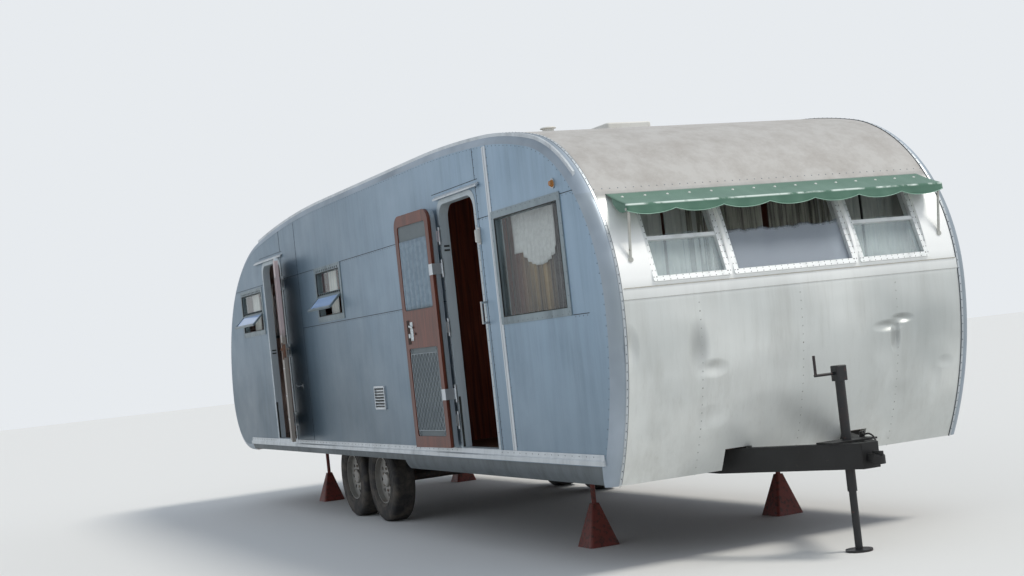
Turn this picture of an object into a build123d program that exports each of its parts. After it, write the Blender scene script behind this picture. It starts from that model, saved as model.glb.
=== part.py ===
# Travel caravan with two axles, riveted aluminium skin and two open side doors.
# Millimetres. X runs forward to the hitch, Y to the left, Z up.
# The origin is the centre of the hitch ball. The door side is the right side, at negative Y.

import os
from math import asin, atan2, cos, degrees, radians, sin, sqrt, tan

from build123d import *

os.makedirs("parts", exist_ok=True)

# Main sizes. Heights are above the ground, lengths are back from the front end of the belt rail.
BALL_HEIGHT = 500
HITCH_REACH = 800
WIDTH = 2440
ROOF_HEIGHT = 2705
RAIL_LENGTH = 7790
WALL = 50
COVE_RADIUS = 65
FRONT_SKIN_BOTTOM = 490

# Front outline: how far and how high it bulges, then the roof arcs as (turn, radius per rise).
FRONT_BULGE = 258
FRONT_BULGE_HEIGHT = 1478
FRONT_BELLY_RADIUS = 2010
FRONT_ARCS = ((76.1, 0.8988), (9.5, 3.454))

# Rear outline, in the same form. Its belly is a quarter turn that ends flat.
REAR_BULGE = 721
REAR_BULGE_HEIGHT = 1073
REAR_BELLY_RADIUS = 535
REAR_ARCS = ((57.5, 0.851), (26.1, 1.381))

# Where the wrap panels meet: the line of the awning in front, the upper belt at the back.
FRONT_SEAM_HEIGHT = 2120
REAR_SEAM_HEIGHT = 2150
SHEET_GAP = 0.3

# Beads along the wrap's rolled edges, and the gutter over the front door: (from, to) back
BEAD_WIDTH = 14
BEAD_PROUD = 3
GUTTER_SPAN = (60, 6900)
GUTTER_PLACE = 34
GUTTER_WIDTH = 14
GUTTER_PROUD = 3
BAND_END = 4

# Doors: place of the hinge jamb back from the rail's front, the way the closed leaf runs from it,
# and how far the leaf stands open.
DOOR_OPENING = 610
DOOR_SILL = 675
DOOR_HEAD = 2320
DOOR_CORNER = 95
DOOR_LEAF = 32
DOOR_SIDE_GAP = 10
DOOR_END_GAP = 7
HINGE_STANDOFF = 15
HINGE_RADIUS = 7
JAMB_LINING = 12
JAMB_DEPTH = 62
FRONT_DOOR = {"hinge": 2075, "run": 1, "open": 177, "drip": (120, 40)}
REAR_DOOR = {"hinge": 6155, "run": -1, "open": 166, "drip": (115, 235)}
JAMB_FLANGE = 22
JAMB_PROUD = 3
DOOR_WINDOW_SILL = 1630
DOOR_WINDOW_WIDTH = 400
DOOR_WINDOW_HEIGHT = 530
HINGE_PLACES = (150, 780, 1400)
HINGE_LENGTH = 75
HINGE_STRAP = 60
HINGE_PLATE = 3
HINGE_KNUCKLE = 22
HINGE_PLAY = 0.3
SCREEN_HINGE_PLACES = (330, 1180)
SCREEN_STRAP_PLACE = 3.5
HANDLE_HEIGHT = 1500
HANDLE_EDGE = 55
HANDLE_ROSE = 22
HANDLE_LEVER = 110
HANDLE_PROUD = 22
SCREEN_LEAF = 20
SCREEN_GAP = 6
SCREEN_STILE = 54
SCREEN_CORNER = 22
SCREEN_SHEET = 4
SCREEN_OPENINGS = ((760, 1375), (1640, 2235))

# Windows: (middle back from the rail's front, sill height, width, height) in the side walls,
# (middle across, width) in the front and rear panels.
DOOR_SIDE_WINDOWS = ((705, 1480, 950, 665), (4725, 1710, 690, 420), (7290, 1700, 800, 415))
ROAD_SIDE_WINDOWS = (
    (705, 1480, 950, 665),
    (2700, 1710, 690, 420),
    (4725, 1710, 690, 420),
    (7290, 1700, 800, 415),
)
FRONT_WINDOWS = ((-690, 500), (0, 840), (690, 500))
FRONT_WINDOW_SILL = 1585
FRONT_WINDOW_HEAD = 2075
REAR_WINDOWS = ((-690, 500), (0, 840), (690, 500))
REAR_WINDOW_SILL = 1690
REAR_WINDOW_HEAD = 2090
WINDOW_CORNER = 12
WINDOW_BAR = 30
WINDOW_FLANGE = 22
WINDOW_PROUD = 6
GLASS = 5
GLASS_DEPTH = 14
SASH_LIMIT = 500
SASH_RAIL = 22
SASH_GAP = 4
SASH_HANG = 0.3
SASH_BAR = 20
SASH_THICK = 16
SASH_OPEN = 45
END_WINDOW_PROUD = 14
END_RAIL_LIMIT = 700

# Wheels and axles
TYRE_RADIUS = 338
TYRE_WIDTH = 178
RIM_RADIUS = 190
WHEEL_TRACK = 1900
AXLE_PLACE = 4800
AXLE_SPACING = 760

# Frame
FRAME_DEPTH = 140
FRAME_FLANGE = 50
FRAME_WEB = 6
RAIL_SPREAD = 900
FLOOR_THICKNESS = 60
FLOOR_PLAY = 1
TYRE_CLEARANCE = 60
BUMP_TRAVEL = 100
WHEEL_BOX_BOARD = 15
FRONT_PARTITION = 2900
REAR_PARTITION = 5900
PARTITION_BOARD = 25
PARTITION_GAP = 0.3
PASSAGE_WIDTH = 850
FRAME_FRONT = 95
FRAME_REAR = 7740
CROSS_DEPTH = 100
CROSS_MEMBERS = (500, 1900, 2700, 3500, 6100, 6700, 7680)
OUTRIGGERS = (350, 2000, 2850, 3700, 6150, 7600)
OUTRIGGER_SHORT = 30
OUTRIGGER_TIP = 40
STAND_BEAMS = (1250, 7000)
STAND_SPREAD = 700
BEAM_OVERHANG = 120
BEAM_DEPTH = 90
BEAM_WIDTH = 70
TONGUE_NOTCH_PLACE = 400
TONGUE_NOTCH_WIDTH = 180
TONGUE_CLEARANCE = 10

# Drawbar, coupler and tongue jack
COUPLER_BACK = 70
NOSE_WIDTH = 110
NOSE_PLATE = 8
SOCKET_RADIUS = 25.7
SOCKET_MOUTH = 12
SOCKET_PLAY = 3
CUP_RADIUS = 36
CUP_HEIGHT = 52
CUP_ROUND = 12
NECK_WIDTH = 58
NECK_HEIGHT = 44
NECK_ROUND = 10
LATCH_LENGTH = 60
LATCH_WIDTH = 22
LATCH_HEIGHT = 18
JACK_BACK = 265
JACK_TOP = 1025
JACK_TUBE_RADIUS = 27
JACK_TUBE_BOTTOM = 330
JACK_LEG_RADIUS = 21
JACK_FOOT = 12
JACK_FOOT_RADIUS = 75
JACK_PLATE = 10
JACK_PLATE_LENGTH = 150
JACK_PLATE_WIDTH = 300
JACK_HEAD_WIDTH = 70
JACK_HEAD_HEIGHT = 85
JACK_HEAD_ROUND = 14
CRANK_RADIUS = 8
CRANK_REACH = 120
CRANK_HANDLE = 110

# Jack stands
STAND_BASE = 210
STAND_CONE = 270
STAND_NECK = 50
STAND_ROUND = 20
STAND_SCREW = 16
STAND_SADDLE = 10

# Axles, springs and wheel details
AXLE_RADIUS = 38
AXLE_SHOULDER_GAP = 5
SPINDLE_RADIUS = 19
SPINDLE_LENGTH = 90
SPINDLE_PLAY = 0.05
SPRING_LENGTH = 660
SPRING_RISE = 32
SPRING_PACK = 34
SPRING_TIP = 12
SPRING_WIDTH = 50
HANGER_LENGTH = 40
TYRE_SHOULDER = 30
TYRE_BEAD = 12
RIM_PLAY = 0.3
RIM_WIDTH = 150
RIM_SHEET = 6
DISC_PLACE = 30
DISC_HOLE_RING = 125
DISC_HOLES = 8
DISC_HOLE = 16
HUB_RADIUS = 60
HUB_BACK = 60
HUB_NOSE = 26
HUB_ROUND = 14

# Belt rail and skirts: (from, to, drop) back from the rail's front
RAIL_HEIGHT = 672
RAIL_DEPTH = 62
RAIL_PROUD = 18
RAIL_LIP = 24
SKIRTS = ((45, 3300, 112), (3300, 7790, 45))
SKIRT_ROLL = 160
SKIRT_SHEET = 3
SKIRT_INSET = 4

# Drip caps and canopy
DRIP_RISE = 62
DRIP_PROUD = 24
DRIP_FALL = 18
DRIP_LIP = 10
CANOPY_HEIGHT = 2110
CANOPY_FRONT_HEIGHT = 2015
CANOPY_REACH = 226
CANOPY_WIDTH = 2150
CANOPY_SHEET = 4
CANOPY_SEAT = 8
CANOPY_SCALLOPS = 7
VALANCE_SHORT = 34
VALANCE_LONG = 62
END_FLAP_BACK = 70
CANOPY_BAR = 10
CANOPY_ROD = 8
CANOPY_ROD_INSET = 22
CANOPY_FOOT_HEIGHT = 1720
CANOPY_FOOT = 14
CANOPY_RAIL = 16
BAR_DROP = 22
CURVE_GAP = 0.3

# Curtains on rods: the depth of their folds and their place behind the glass
CURTAIN_FOLD = 24
CURTAIN_ROD = 6
CURTAIN_BACK = 62
CURTAIN_RISE = 25
CURTAIN_FALL = 15
FRONT_ROD_RISE = 15
FRONT_CURTAIN_BACK = 17.931
REAR_CURTAIN_BACK = 18.33
ROD_END = 30
DOOR_CURTAIN = 7

# Lamps and fittings
MARKER_PLACE = 280
MARKER_HEIGHT = 2220
MARKER_BASE = 29
MARKER_PLATE = 7
MARKER_PROUD = 24
TAIL_LAMP_SPREAD = 900
TAIL_LAMP_HEIGHT = 970
TAIL_LAMP_RADIUS = 52
TAIL_LAMP_PROUD = 30
PORCH_PLACE = 1410
PORCH_HEIGHT = 2040
PORCH_WIDTH = 36
PORCH_LENGTH = 110
PORCH_PROUD = 34
GRIP_HEIGHT = 1550
GRIP_LENGTH = 130
GRIP_PROUD = 42
GRIP_RADIUS = 7
HOLDER_PLACE = 5800
HOLDER_HEIGHT = 1160
HOLDER_PROUD = 62
HOLDER_PLATE = 44
VENT_PLACE = 3680
VENT_HEIGHT = 1030
VENT_WIDTH = 240
VENT_RISE = 180
VENT_PROUD = 12
VENT_RIM = 14
VENT_SLATS = 6
ROOF_VENT_PLACE = 1640
ROOF_VENT_ACROSS = -20
ROOF_VENT_SIZE = 345
ROOF_VENT_RISE = 35
ROOF_VENT_ROUND = 24
FLUE_PLACE = 1590
FLUE_ACROSS = -570
FLUE_RADIUS = 38
FLUE_RISE = 30
FLUE_CAP = 55

# Black lead that loops beside the left arm of the drawbar
LEAD_RADIUS = 5
LEAD_CLIP = 26
LEAD_PLACE = 671
LEAD_INBOARD = 28

# Helper values
half = WIDTH / 2
inner = half - WALL


def z(height):
    """Turn a height above the ground into Z."""
    return height - BALL_HEIGHT


def x(back):
    """Turn a distance back from the rail's front end into X."""
    return -HITCH_REACH - back


GROUND = z(0)
frame_top = REAR_BULGE_HEIGHT - REAR_BELLY_RADIUS + COVE_RADIUS
floor_bottom = z(frame_top)
floor_top = floor_bottom + FLOOR_THICKNESS
rear_belly = z(REAR_BULGE_HEIGHT - REAR_BELLY_RADIUS)


def roof_arcs(table, rise):
    """Give (turn, radius) for each arc from the widest point up to the flat roof."""
    arcs = [(turn, share * rise) for turn, share in table]
    turned = 0
    gained = 0
    for turn, radius in arcs:
        gained += radius * (sin(radians(turned + turn)) - sin(radians(turned)))
        turned += turn
    arcs.append((90 - turned, (rise - gained) / (1 - sin(radians(turned)))))
    return arcs


front_arcs = roof_arcs(FRONT_ARCS, ROOF_HEIGHT - FRONT_BULGE_HEIGHT)
rear_arcs = roof_arcs(REAR_ARCS, ROOF_HEIGHT - REAR_BULGE_HEIGHT)
front_widest = (x(-FRONT_BULGE), z(FRONT_BULGE_HEIGHT))
rear_widest = (x(RAIL_LENGTH + REAR_BULGE), z(REAR_BULGE_HEIGHT))


def front_skin_x(height, inset=0):
    """Give X of the front outline at a height, up to the top of its first roof arc."""
    if height < FRONT_BULGE_HEIGHT:
        radius = FRONT_BELLY_RADIUS
    else:
        radius = front_arcs[0][1]
    drop = height - FRONT_BULGE_HEIGHT
    return front_widest[0] - radius + sqrt((radius - inset) ** 2 - drop**2)


def rear_skin_x(height, inset=0):
    """Give X of the rear outline at a height, up to the top of its first roof arc."""
    if height < REAR_BULGE_HEIGHT:
        radius = REAR_BELLY_RADIUS
    else:
        radius = rear_arcs[0][1]
    drop = height - REAR_BULGE_HEIGHT
    return rear_widest[0] + radius - sqrt((radius - inset) ** 2 - drop**2)


def side_outline(inset, front_bottom, corners):
    """Draw the cabin's side view, moved in by inset, closed through the given lower corners."""
    belly = FRONT_BELLY_RADIUS - inset
    turn = degrees(asin((FRONT_BULGE_HEIGHT - front_bottom) / belly))
    with BuildSketch() as outline:
        with BuildLine():
            start = (front_widest[0] - inset, front_widest[1])
            low_front = JernArc(start, (0, -1), belly, -turn)
            reach, heading = start, (0, 1)
            for arc_turn, radius in front_arcs:
                arc = JernArc(reach, heading, radius - inset, arc_turn)
                reach, heading = arc @ 1, arc % 1
            front_crown = reach
            start = (rear_widest[0] + inset, rear_widest[1])
            low_rear = JernArc(start, (0, -1), REAR_BELLY_RADIUS - inset, 90)
            reach, heading = start, (0, 1)
            for arc_turn, radius in rear_arcs:
                arc = JernArc(reach, heading, radius - inset, -arc_turn)
                reach, heading = arc @ 1, arc % 1
            Line(front_crown, reach)
            Polyline(low_rear @ 1, *corners, low_front @ 1)
        make_face()
    return outline.sketch


# Cabin outlines: the outer skin with its lip and rear flange, the hollow, and the flat side wall
lip_back = front_skin_x(FRONT_SKIN_BOTTOM) - WALL
flange_front = x(RAIL_LENGTH)
skin_outline = side_outline(
    0,
    FRONT_SKIN_BOTTOM,
    (
        (flange_front, rear_belly),
        (flange_front, floor_bottom),
        (lip_back, floor_bottom),
        (lip_back, z(FRONT_SKIN_BOTTOM)),
    ),
)
hollow_outline = side_outline(
    WALL,
    FRONT_SKIN_BOTTOM - WALL,
    ((flange_front - COVE_RADIUS, rear_belly + WALL), (flange_front - COVE_RADIUS, z(0))),
)
wall_outline = side_outline(COVE_RADIUS, frame_top, ())
room_outline = side_outline(WALL + PARTITION_GAP, frame_top, ())

side_plane = Plane.XZ

with BuildPart() as wrap:
    with BuildSketch(side_plane):
        add(skin_outline)
    extrude(amount=half, both=True)
    rolled = wrap.edges().filter_by(lambda e: abs(abs(e.center().Y) - half) < 1)
    rolled = rolled.filter_by(
        lambda e: e.geom_type == GeomType.CIRCLE or e.center().Z > z(ROOF_HEIGHT) - 1
        or abs(e.center().Z - rear_belly) < 1
    )
    fillet(rolled, COVE_RADIUS)
    with BuildSketch(side_plane):
        add(hollow_outline)
    extrude(amount=inner, both=True, mode=Mode.SUBTRACT)
    for face in (-1, 1):
        with BuildSketch(side_plane.offset(-face * inner)):
            add(wall_outline)
        extrude(amount=-face * WALL, mode=Mode.SUBTRACT)


# The cabin as one block, that fittings on the curved skin are cut back to
with BuildPart() as cabin_block:
    with BuildSketch(side_plane):
        add(skin_outline)
    extrude(amount=half, both=True)


# Wrap panels, cut along the seams where the real sheets meet
middle = (front_widest[0] + rear_widest[0]) / 2
reach = front_widest[0] - rear_widest[0]
front_low = (front_skin_x(FRONT_WINDOW_SILL), z(FRONT_WINDOW_SILL))
front_high = (front_skin_x(FRONT_WINDOW_HEAD), z(FRONT_WINDOW_HEAD))
front_rake = atan2(front_low[0] - front_high[0], front_high[1] - front_low[1])
front_glazing = Plane(
    origin=((front_low[0] + front_high[0]) / 2, 0, (front_low[1] + front_high[1]) / 2),
    x_dir=(0, 1, 0),
    z_dir=(cos(front_rake), 0, sin(front_rake)),
)
front_glass_height = (front_high[1] - front_low[1]) / cos(front_rake)
rear_low = (rear_skin_x(REAR_WINDOW_SILL), z(REAR_WINDOW_SILL))
rear_high = (rear_skin_x(REAR_WINDOW_HEAD), z(REAR_WINDOW_HEAD))
rear_rake = atan2(rear_high[0] - rear_low[0], rear_high[1] - rear_low[1])
rear_glazing = Plane(
    origin=((rear_low[0] + rear_high[0]) / 2, 0, (rear_low[1] + rear_high[1]) / 2),
    x_dir=(0, -1, 0),
    z_dir=(-cos(rear_rake), 0, sin(rear_rake)),
)
rear_glass_height = (rear_high[1] - rear_low[1]) / cos(rear_rake)

with BuildPart() as front_panel:
    add(wrap.part)
    with BuildSketch(side_plane):
        with Locations((middle, z(FRONT_SEAM_HEIGHT))):
            Rectangle(reach, reach, align=(Align.MIN, Align.MAX))
    extrude(amount=WIDTH, both=True, mode=Mode.INTERSECT)
    for centre, width in FRONT_WINDOWS:
        with BuildSketch(front_glazing):
            with Locations((centre, 0)):
                RectangleRounded(width, front_glass_height, WINDOW_CORNER)
        extrude(amount=4 * WALL, both=True, mode=Mode.SUBTRACT)
    for face in (-1, 1):
        with BuildSketch(Plane.XY.offset(z(FRONT_SKIN_BOTTOM))):
            with Locations((lip_back, face * TONGUE_NOTCH_PLACE)):
                Rectangle(6 * WALL, TONGUE_NOTCH_WIDTH)
        extrude(amount=frame_top - FRONT_SKIN_BOTTOM + TONGUE_CLEARANCE, mode=Mode.SUBTRACT)
front_panel.part.label = "front_panel"
export_step(front_panel.part, "parts/front_panel.step")

with BuildPart() as rear_panel:
    add(wrap.part)
    with BuildSketch(side_plane):
        with Locations((middle, z(REAR_SEAM_HEIGHT))):
            Rectangle(reach, reach, align=(Align.MAX, Align.MAX))
    extrude(amount=WIDTH, both=True, mode=Mode.INTERSECT)
    for centre, width in REAR_WINDOWS:
        with BuildSketch(rear_glazing):
            with Locations((centre, 0)):
                RectangleRounded(width, rear_glass_height, WINDOW_CORNER)
        extrude(amount=4 * WALL, both=True, mode=Mode.SUBTRACT)
rear_panel.part.label = "rear_panel"
export_step(rear_panel.part, "parts/rear_panel.step")

with BuildPart() as roof_panel:
    add(wrap.part)
    with BuildSketch(side_plane):
        with Locations((middle, z(FRONT_SEAM_HEIGHT))):
            Rectangle(reach, reach, align=(Align.MIN, Align.MAX))
        with Locations((middle, z(REAR_SEAM_HEIGHT))):
            Rectangle(reach, reach, align=(Align.MAX, Align.MAX))
    extrude(amount=WIDTH, both=True, mode=Mode.SUBTRACT)
roof_panel.part.label = "roof_panel"
export_step(roof_panel.part, "parts/roof_panel.step")


def outline_band(proud, depth):
    """Draw a band along the cabin's side view, open below, from proud of the skin down to a depth."""
    rear_end = rear_widest[0] + REAR_BELLY_RADIUS
    with BuildSketch() as band:
        add(side_outline(-proud, FRONT_SKIN_BOTTOM, ()))
        add(side_outline(depth, FRONT_SKIN_BOTTOM, ()), mode=Mode.SUBTRACT)
        with Locations((rear_end, rear_belly + BAND_END)):
            Rectangle(lip_back - rear_end, COVE_RADIUS, align=(Align.MIN, Align.MAX), mode=Mode.SUBTRACT)
        with Locations((lip_back, z(FRONT_SKIN_BOTTOM) + BAND_END)):
            Rectangle(2 * WALL, WALL, align=(Align.MIN, Align.MAX), mode=Mode.SUBTRACT)
    return band.sketch


# Beads that cover the joints between the wrap and its rolled edges, right round the cabin
with BuildPart() as edge_beads:
    for face in (-1, 1):
        with BuildSketch(side_plane.offset(-face * (half - COVE_RADIUS))):
            add(outline_band(BEAD_PROUD, 0))
        extrude(amount=face * BEAD_WIDTH)
edge_beads.part.label = "edge_beads"
export_step(edge_beads.part, "parts/edge_beads.step")

# Gutter on the rolled edge over the front door
with BuildPart() as gutter:
    with BuildSketch(side_plane.offset(half - GUTTER_PLACE)):
        add(outline_band(GUTTER_PROUD, WALL / 2))
        with Locations(((x(GUTTER_SPAN[0]) + x(GUTTER_SPAN[1])) / 2, z(ROOF_HEIGHT))):
            Rectangle(GUTTER_SPAN[1] - GUTTER_SPAN[0], ROOF_HEIGHT, mode=Mode.INTERSECT)
    extrude(amount=GUTTER_WIDTH)
    add(wrap.part, mode=Mode.SUBTRACT)
gutter.part.label = "gutter"
export_step(gutter.part, "parts/gutter.step")


def opening_centre(door):
    """Give X of the middle of a doorway."""
    return x(door["hinge"]) + door["run"] * DOOR_OPENING / 2


def doorway(grow):
    """Draw the doorway's outline about its sill, square below and rounded above."""
    with BuildSketch() as shape:
        with BuildLine():
            left = -DOOR_OPENING / 2 - grow
            low = -grow
            high = DOOR_HEAD - DOOR_SILL + grow
            Polyline((left, high - DOOR_CORNER), (left, low), (-left, low), (-left, high - DOOR_CORNER))
            JernArc((-left, high - DOOR_CORNER), (0, 1), DOOR_CORNER, 90)
            Line((-left - DOOR_CORNER, high), (left + DOOR_CORNER, high))
            JernArc((left, high - DOOR_CORNER), (0, 1), DOOR_CORNER, -90)
        make_face()
    return shape.sketch


wall_cut = doorway(JAMB_LINING)
clear_doorway = doorway(0)


# Side walls, as thick as the whole wall, with their windows and doorways cut. The door side is
# made of sheets that meet beside the top of each doorway.
def wall_plane(face, depth=0):
    """Give the plane of a side wall's outer face, moved into the cabin by depth."""
    return side_plane.offset(-face * (half - depth))


door_side_plane = wall_plane(-1)
with BuildPart() as wall_door_side:
    with BuildSketch(wall_plane(-1, WALL)):
        add(wall_outline)
        for centre, sill, width, height in DOOR_SIDE_WINDOWS:
            with Locations((x(centre), z(sill) + height / 2)):
                RectangleRounded(width, height, WINDOW_CORNER, mode=Mode.SUBTRACT)
        for door in (FRONT_DOOR, REAR_DOOR):
            with Locations((opening_centre(door), z(DOOR_SILL))):
                add(wall_cut, mode=Mode.SUBTRACT)
            for side in (-DOOR_OPENING / 2, DOOR_OPENING / 2):
                with Locations((opening_centre(door) + side, z(DOOR_SILL))):
                    Rectangle(SHEET_GAP, 2 * ROOF_HEIGHT, mode=Mode.SUBTRACT)
    extrude(amount=WALL)
wall_door_side.part.label = "wall_door_side"
export_step(wall_door_side.part, "parts/wall_door_side.step")

with BuildPart() as wall_road_side:
    with BuildSketch(wall_plane(1)):
        add(wall_outline)
        for centre, sill, width, height in ROAD_SIDE_WINDOWS:
            with Locations((x(centre), z(sill) + height / 2)):
                RectangleRounded(width, height, WINDOW_CORNER, mode=Mode.SUBTRACT)
    extrude(amount=WALL)
wall_road_side.part.label = "wall_road_side"
export_step(wall_road_side.part, "parts/wall_road_side.step")

with BuildPart() as door_frames:
    for door in (FRONT_DOOR, REAR_DOOR):
        place = (opening_centre(door), z(DOOR_SILL))
        with BuildSketch(wall_plane(-1, JAMB_DEPTH)):
            with Locations(place):
                add(wall_cut)
                add(clear_doorway, mode=Mode.SUBTRACT)
        extrude(amount=JAMB_DEPTH)
        with BuildSketch(door_side_plane):
            with Locations(place):
                add(doorway(JAMB_LINING + JAMB_FLANGE))
                add(clear_doorway, mode=Mode.SUBTRACT)
            with Locations((place[0], z(RAIL_HEIGHT))):
                Rectangle(
                    2 * DOOR_OPENING, RAIL_DEPTH, align=(Align.CENTER, Align.MAX), mode=Mode.SUBTRACT
                )
        extrude(amount=JAMB_PROUD)
door_frames.part.label = "door_frames"
export_step(door_frames.part, "parts/door_frames.step")


# Doors. A leaf hangs on an axis that stands proud of the wall, so that it folds right back.
def door_plane(door, depth):
    """Give a plane on the open leaf: along it from the hinge, up from the sill, at a depth inside."""
    closed = 0 if door["run"] > 0 else 180
    heading = radians(closed - door["run"] * door["open"])
    along = Vector(cos(heading), sin(heading), 0)
    inward = Vector(-sin(heading), cos(heading), 0) * door["run"]
    axis = Vector(x(door["hinge"]), -half - HINGE_STANDOFF, z(DOOR_SILL))
    return Plane(axis + inward * (HINGE_STANDOFF + depth), x_dir=along, z_dir=-inward * door["run"])


leaf_width = DOOR_OPENING - 2 * DOOR_SIDE_GAP
leaf_height = DOOR_HEAD - DOOR_SILL - 2 * DOOR_END_GAP
leaf_middle = (DOOR_OPENING / 2, DOOR_END_GAP + leaf_height / 2)


def leaf_outline(width, height):
    """Draw a door leaf about its middle, with rounded upper corners."""
    with BuildSketch() as shape:
        Rectangle(width, height)
        fillet(shape.vertices().group_by(Axis.Y)[-1], DOOR_CORNER - DOOR_END_GAP)
    return shape.sketch


leaf_shape = leaf_outline(leaf_width, leaf_height)
door_window = (DOOR_OPENING / 2, DOOR_WINDOW_SILL - DOOR_SILL + DOOR_WINDOW_HEIGHT / 2)
for name, door in (("front_door", FRONT_DOOR), ("rear_door", REAR_DOOR)):
    out = door["run"]
    with BuildPart() as leaf:
        with BuildSketch(door_plane(door, DOOR_LEAF)):
            with Locations(leaf_middle):
                add(leaf_shape)
            with Locations(door_window):
                RectangleRounded(
                    DOOR_WINDOW_WIDTH, DOOR_WINDOW_HEIGHT, WINDOW_CORNER, mode=Mode.SUBTRACT
                )
        extrude(amount=out * DOOR_LEAF)
        for up in HINGE_PLACES:
            spot = door_plane(door, -HINGE_STANDOFF)
            with BuildSketch(Plane.XY.offset(z(DOOR_SILL + up))):
                with Locations((spot.origin.X, spot.origin.Y)):
                    Circle(HINGE_RADIUS)
            extrude(amount=HINGE_LENGTH)
            with BuildSketch(door_plane(door, 0)):
                with Locations((HINGE_PLAY, up)):
                    Rectangle(HINGE_STRAP, HINGE_LENGTH, align=(Align.MIN, Align.MIN))
            extrude(amount=out * HINGE_PLATE)
            with BuildSketch(door_plane(door, 0)):
                with Locations((HINGE_PLAY, up)):
                    Rectangle(HINGE_PLATE, HINGE_LENGTH, align=(Align.MIN, Align.MIN))
            extrude(amount=out * HINGE_STANDOFF)
        lever = (leaf_width + DOOR_SIDE_GAP - HANDLE_EDGE, HANDLE_HEIGHT - DOOR_SILL)
        with BuildSketch(door_plane(door, 0)):
            with Locations(lever):
                Circle(HANDLE_ROSE)
        extrude(amount=out * HANDLE_PROUD / 2)
        with BuildSketch(door_plane(door, -HANDLE_PROUD / 2)):
            with Locations(lever):
                SlotCenterPoint((0, 0), (-HANDLE_LEVER / 2, 0), HANDLE_ROSE)
        extrude(amount=out * HANDLE_PROUD / 2)
    leaf.part.label = name
    export_step(leaf.part, f"parts/{name}.step")

    with BuildPart() as pane:
        with BuildSketch(door_plane(door, DOOR_LEAF / 2)):
            with Locations(door_window):
                RectangleRounded(DOOR_WINDOW_WIDTH, DOOR_WINDOW_HEIGHT, WINDOW_CORNER)
        extrude(amount=out * GLASS)
    pane.part.label = f"{name}_glass"
    export_step(pane.part, f"parts/{name}_glass.step")

# Curtain in the recess behind the rear door's window
with BuildPart() as rear_door_curtain:
    with BuildSketch(door_plane(REAR_DOOR, DOOR_LEAF / 2 + CURVE_GAP + DOOR_CURTAIN)):
        with Locations(door_window):
            RectangleRounded(
                DOOR_WINDOW_WIDTH - 2 * CURVE_GAP, DOOR_WINDOW_HEIGHT - 2 * CURVE_GAP, WINDOW_CORNER
            )
    extrude(amount=REAR_DOOR["run"] * DOOR_CURTAIN)
rear_door_curtain.part.label = "rear_door_curtain"
export_step(rear_door_curtain.part, "parts/rear_door_curtain.step")

# Screen door, a wooden frame that hangs inside the front door on the same axis
screen_depth = DOOR_LEAF + SCREEN_GAP
with BuildPart() as screen_frame:
    with BuildSketch(door_plane(FRONT_DOOR, screen_depth + SCREEN_LEAF)):
        with Locations(leaf_middle):
            add(leaf_shape)
        for low, high in SCREEN_OPENINGS:
            with Locations((DOOR_OPENING / 2, (low + high) / 2 - DOOR_SILL)):
                RectangleRounded(
                    leaf_width - 2 * SCREEN_STILE, high - low, SCREEN_CORNER, mode=Mode.SUBTRACT
                )
    extrude(amount=SCREEN_LEAF)
screen_frame.part.label = "screen_frame"
export_step(screen_frame.part, "parts/screen_frame.step")

with BuildPart() as screen_mesh:
    with BuildSketch(door_plane(FRONT_DOOR, screen_depth + (SCREEN_LEAF + SCREEN_SHEET) / 2)):
        for low, high in SCREEN_OPENINGS:
            with Locations((DOOR_OPENING / 2, (low + high) / 2 - DOOR_SILL)):
                RectangleRounded(leaf_width - 2 * SCREEN_STILE, high - low, SCREEN_CORNER)
    extrude(amount=SCREEN_SHEET)
screen_mesh.part.label = "screen_mesh"
export_step(screen_mesh.part, "parts/screen_mesh.step")

low, high = SCREEN_OPENINGS[1]
with BuildPart() as screen_curtain:
    mesh_back = screen_depth + (SCREEN_LEAF + SCREEN_SHEET) / 2
    with BuildSketch(door_plane(FRONT_DOOR, mesh_back + CURVE_GAP + DOOR_CURTAIN)):
        with Locations((DOOR_OPENING / 2, (low + high) / 2 - DOOR_SILL)):
            RectangleRounded(
                leaf_width - 2 * (SCREEN_STILE + CURVE_GAP), high - low - 2 * CURVE_GAP, SCREEN_CORNER
            )
    extrude(amount=DOOR_CURTAIN)
screen_curtain.part.label = "screen_curtain"
export_step(screen_curtain.part, "parts/screen_curtain.step")

# Straps that carry the screen door on the front door's hinge axis
with BuildPart() as screen_hinges:
    for up in SCREEN_HINGE_PLACES:
        axis = door_plane(FRONT_DOOR, -HINGE_STANDOFF)
        with BuildSketch(Plane.XY.offset(z(DOOR_SILL + up))):
            with Locations((axis.origin.X, axis.origin.Y)):
                Circle(HINGE_RADIUS)
        extrude(amount=HINGE_LENGTH)
        with BuildSketch(door_plane(FRONT_DOOR, screen_depth + SCREEN_LEAF)):
            with Locations((SCREEN_STRAP_PLACE, up)):
                Rectangle(HINGE_PLATE, HINGE_LENGTH, align=(Align.MIN, Align.MIN))
        extrude(amount=screen_depth + SCREEN_LEAF + HINGE_STANDOFF)
        with BuildSketch(door_plane(FRONT_DOOR, screen_depth + SCREEN_LEAF + HINGE_PLATE)):
            with Locations((SCREEN_STRAP_PLACE, up)):
                Rectangle(HINGE_STRAP, HINGE_LENGTH, align=(Align.MIN, Align.MIN))
        extrude(amount=HINGE_PLATE)
screen_hinges.part.label = "screen_hinges"
export_step(screen_hinges.part, "parts/screen_hinges.step")

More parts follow.
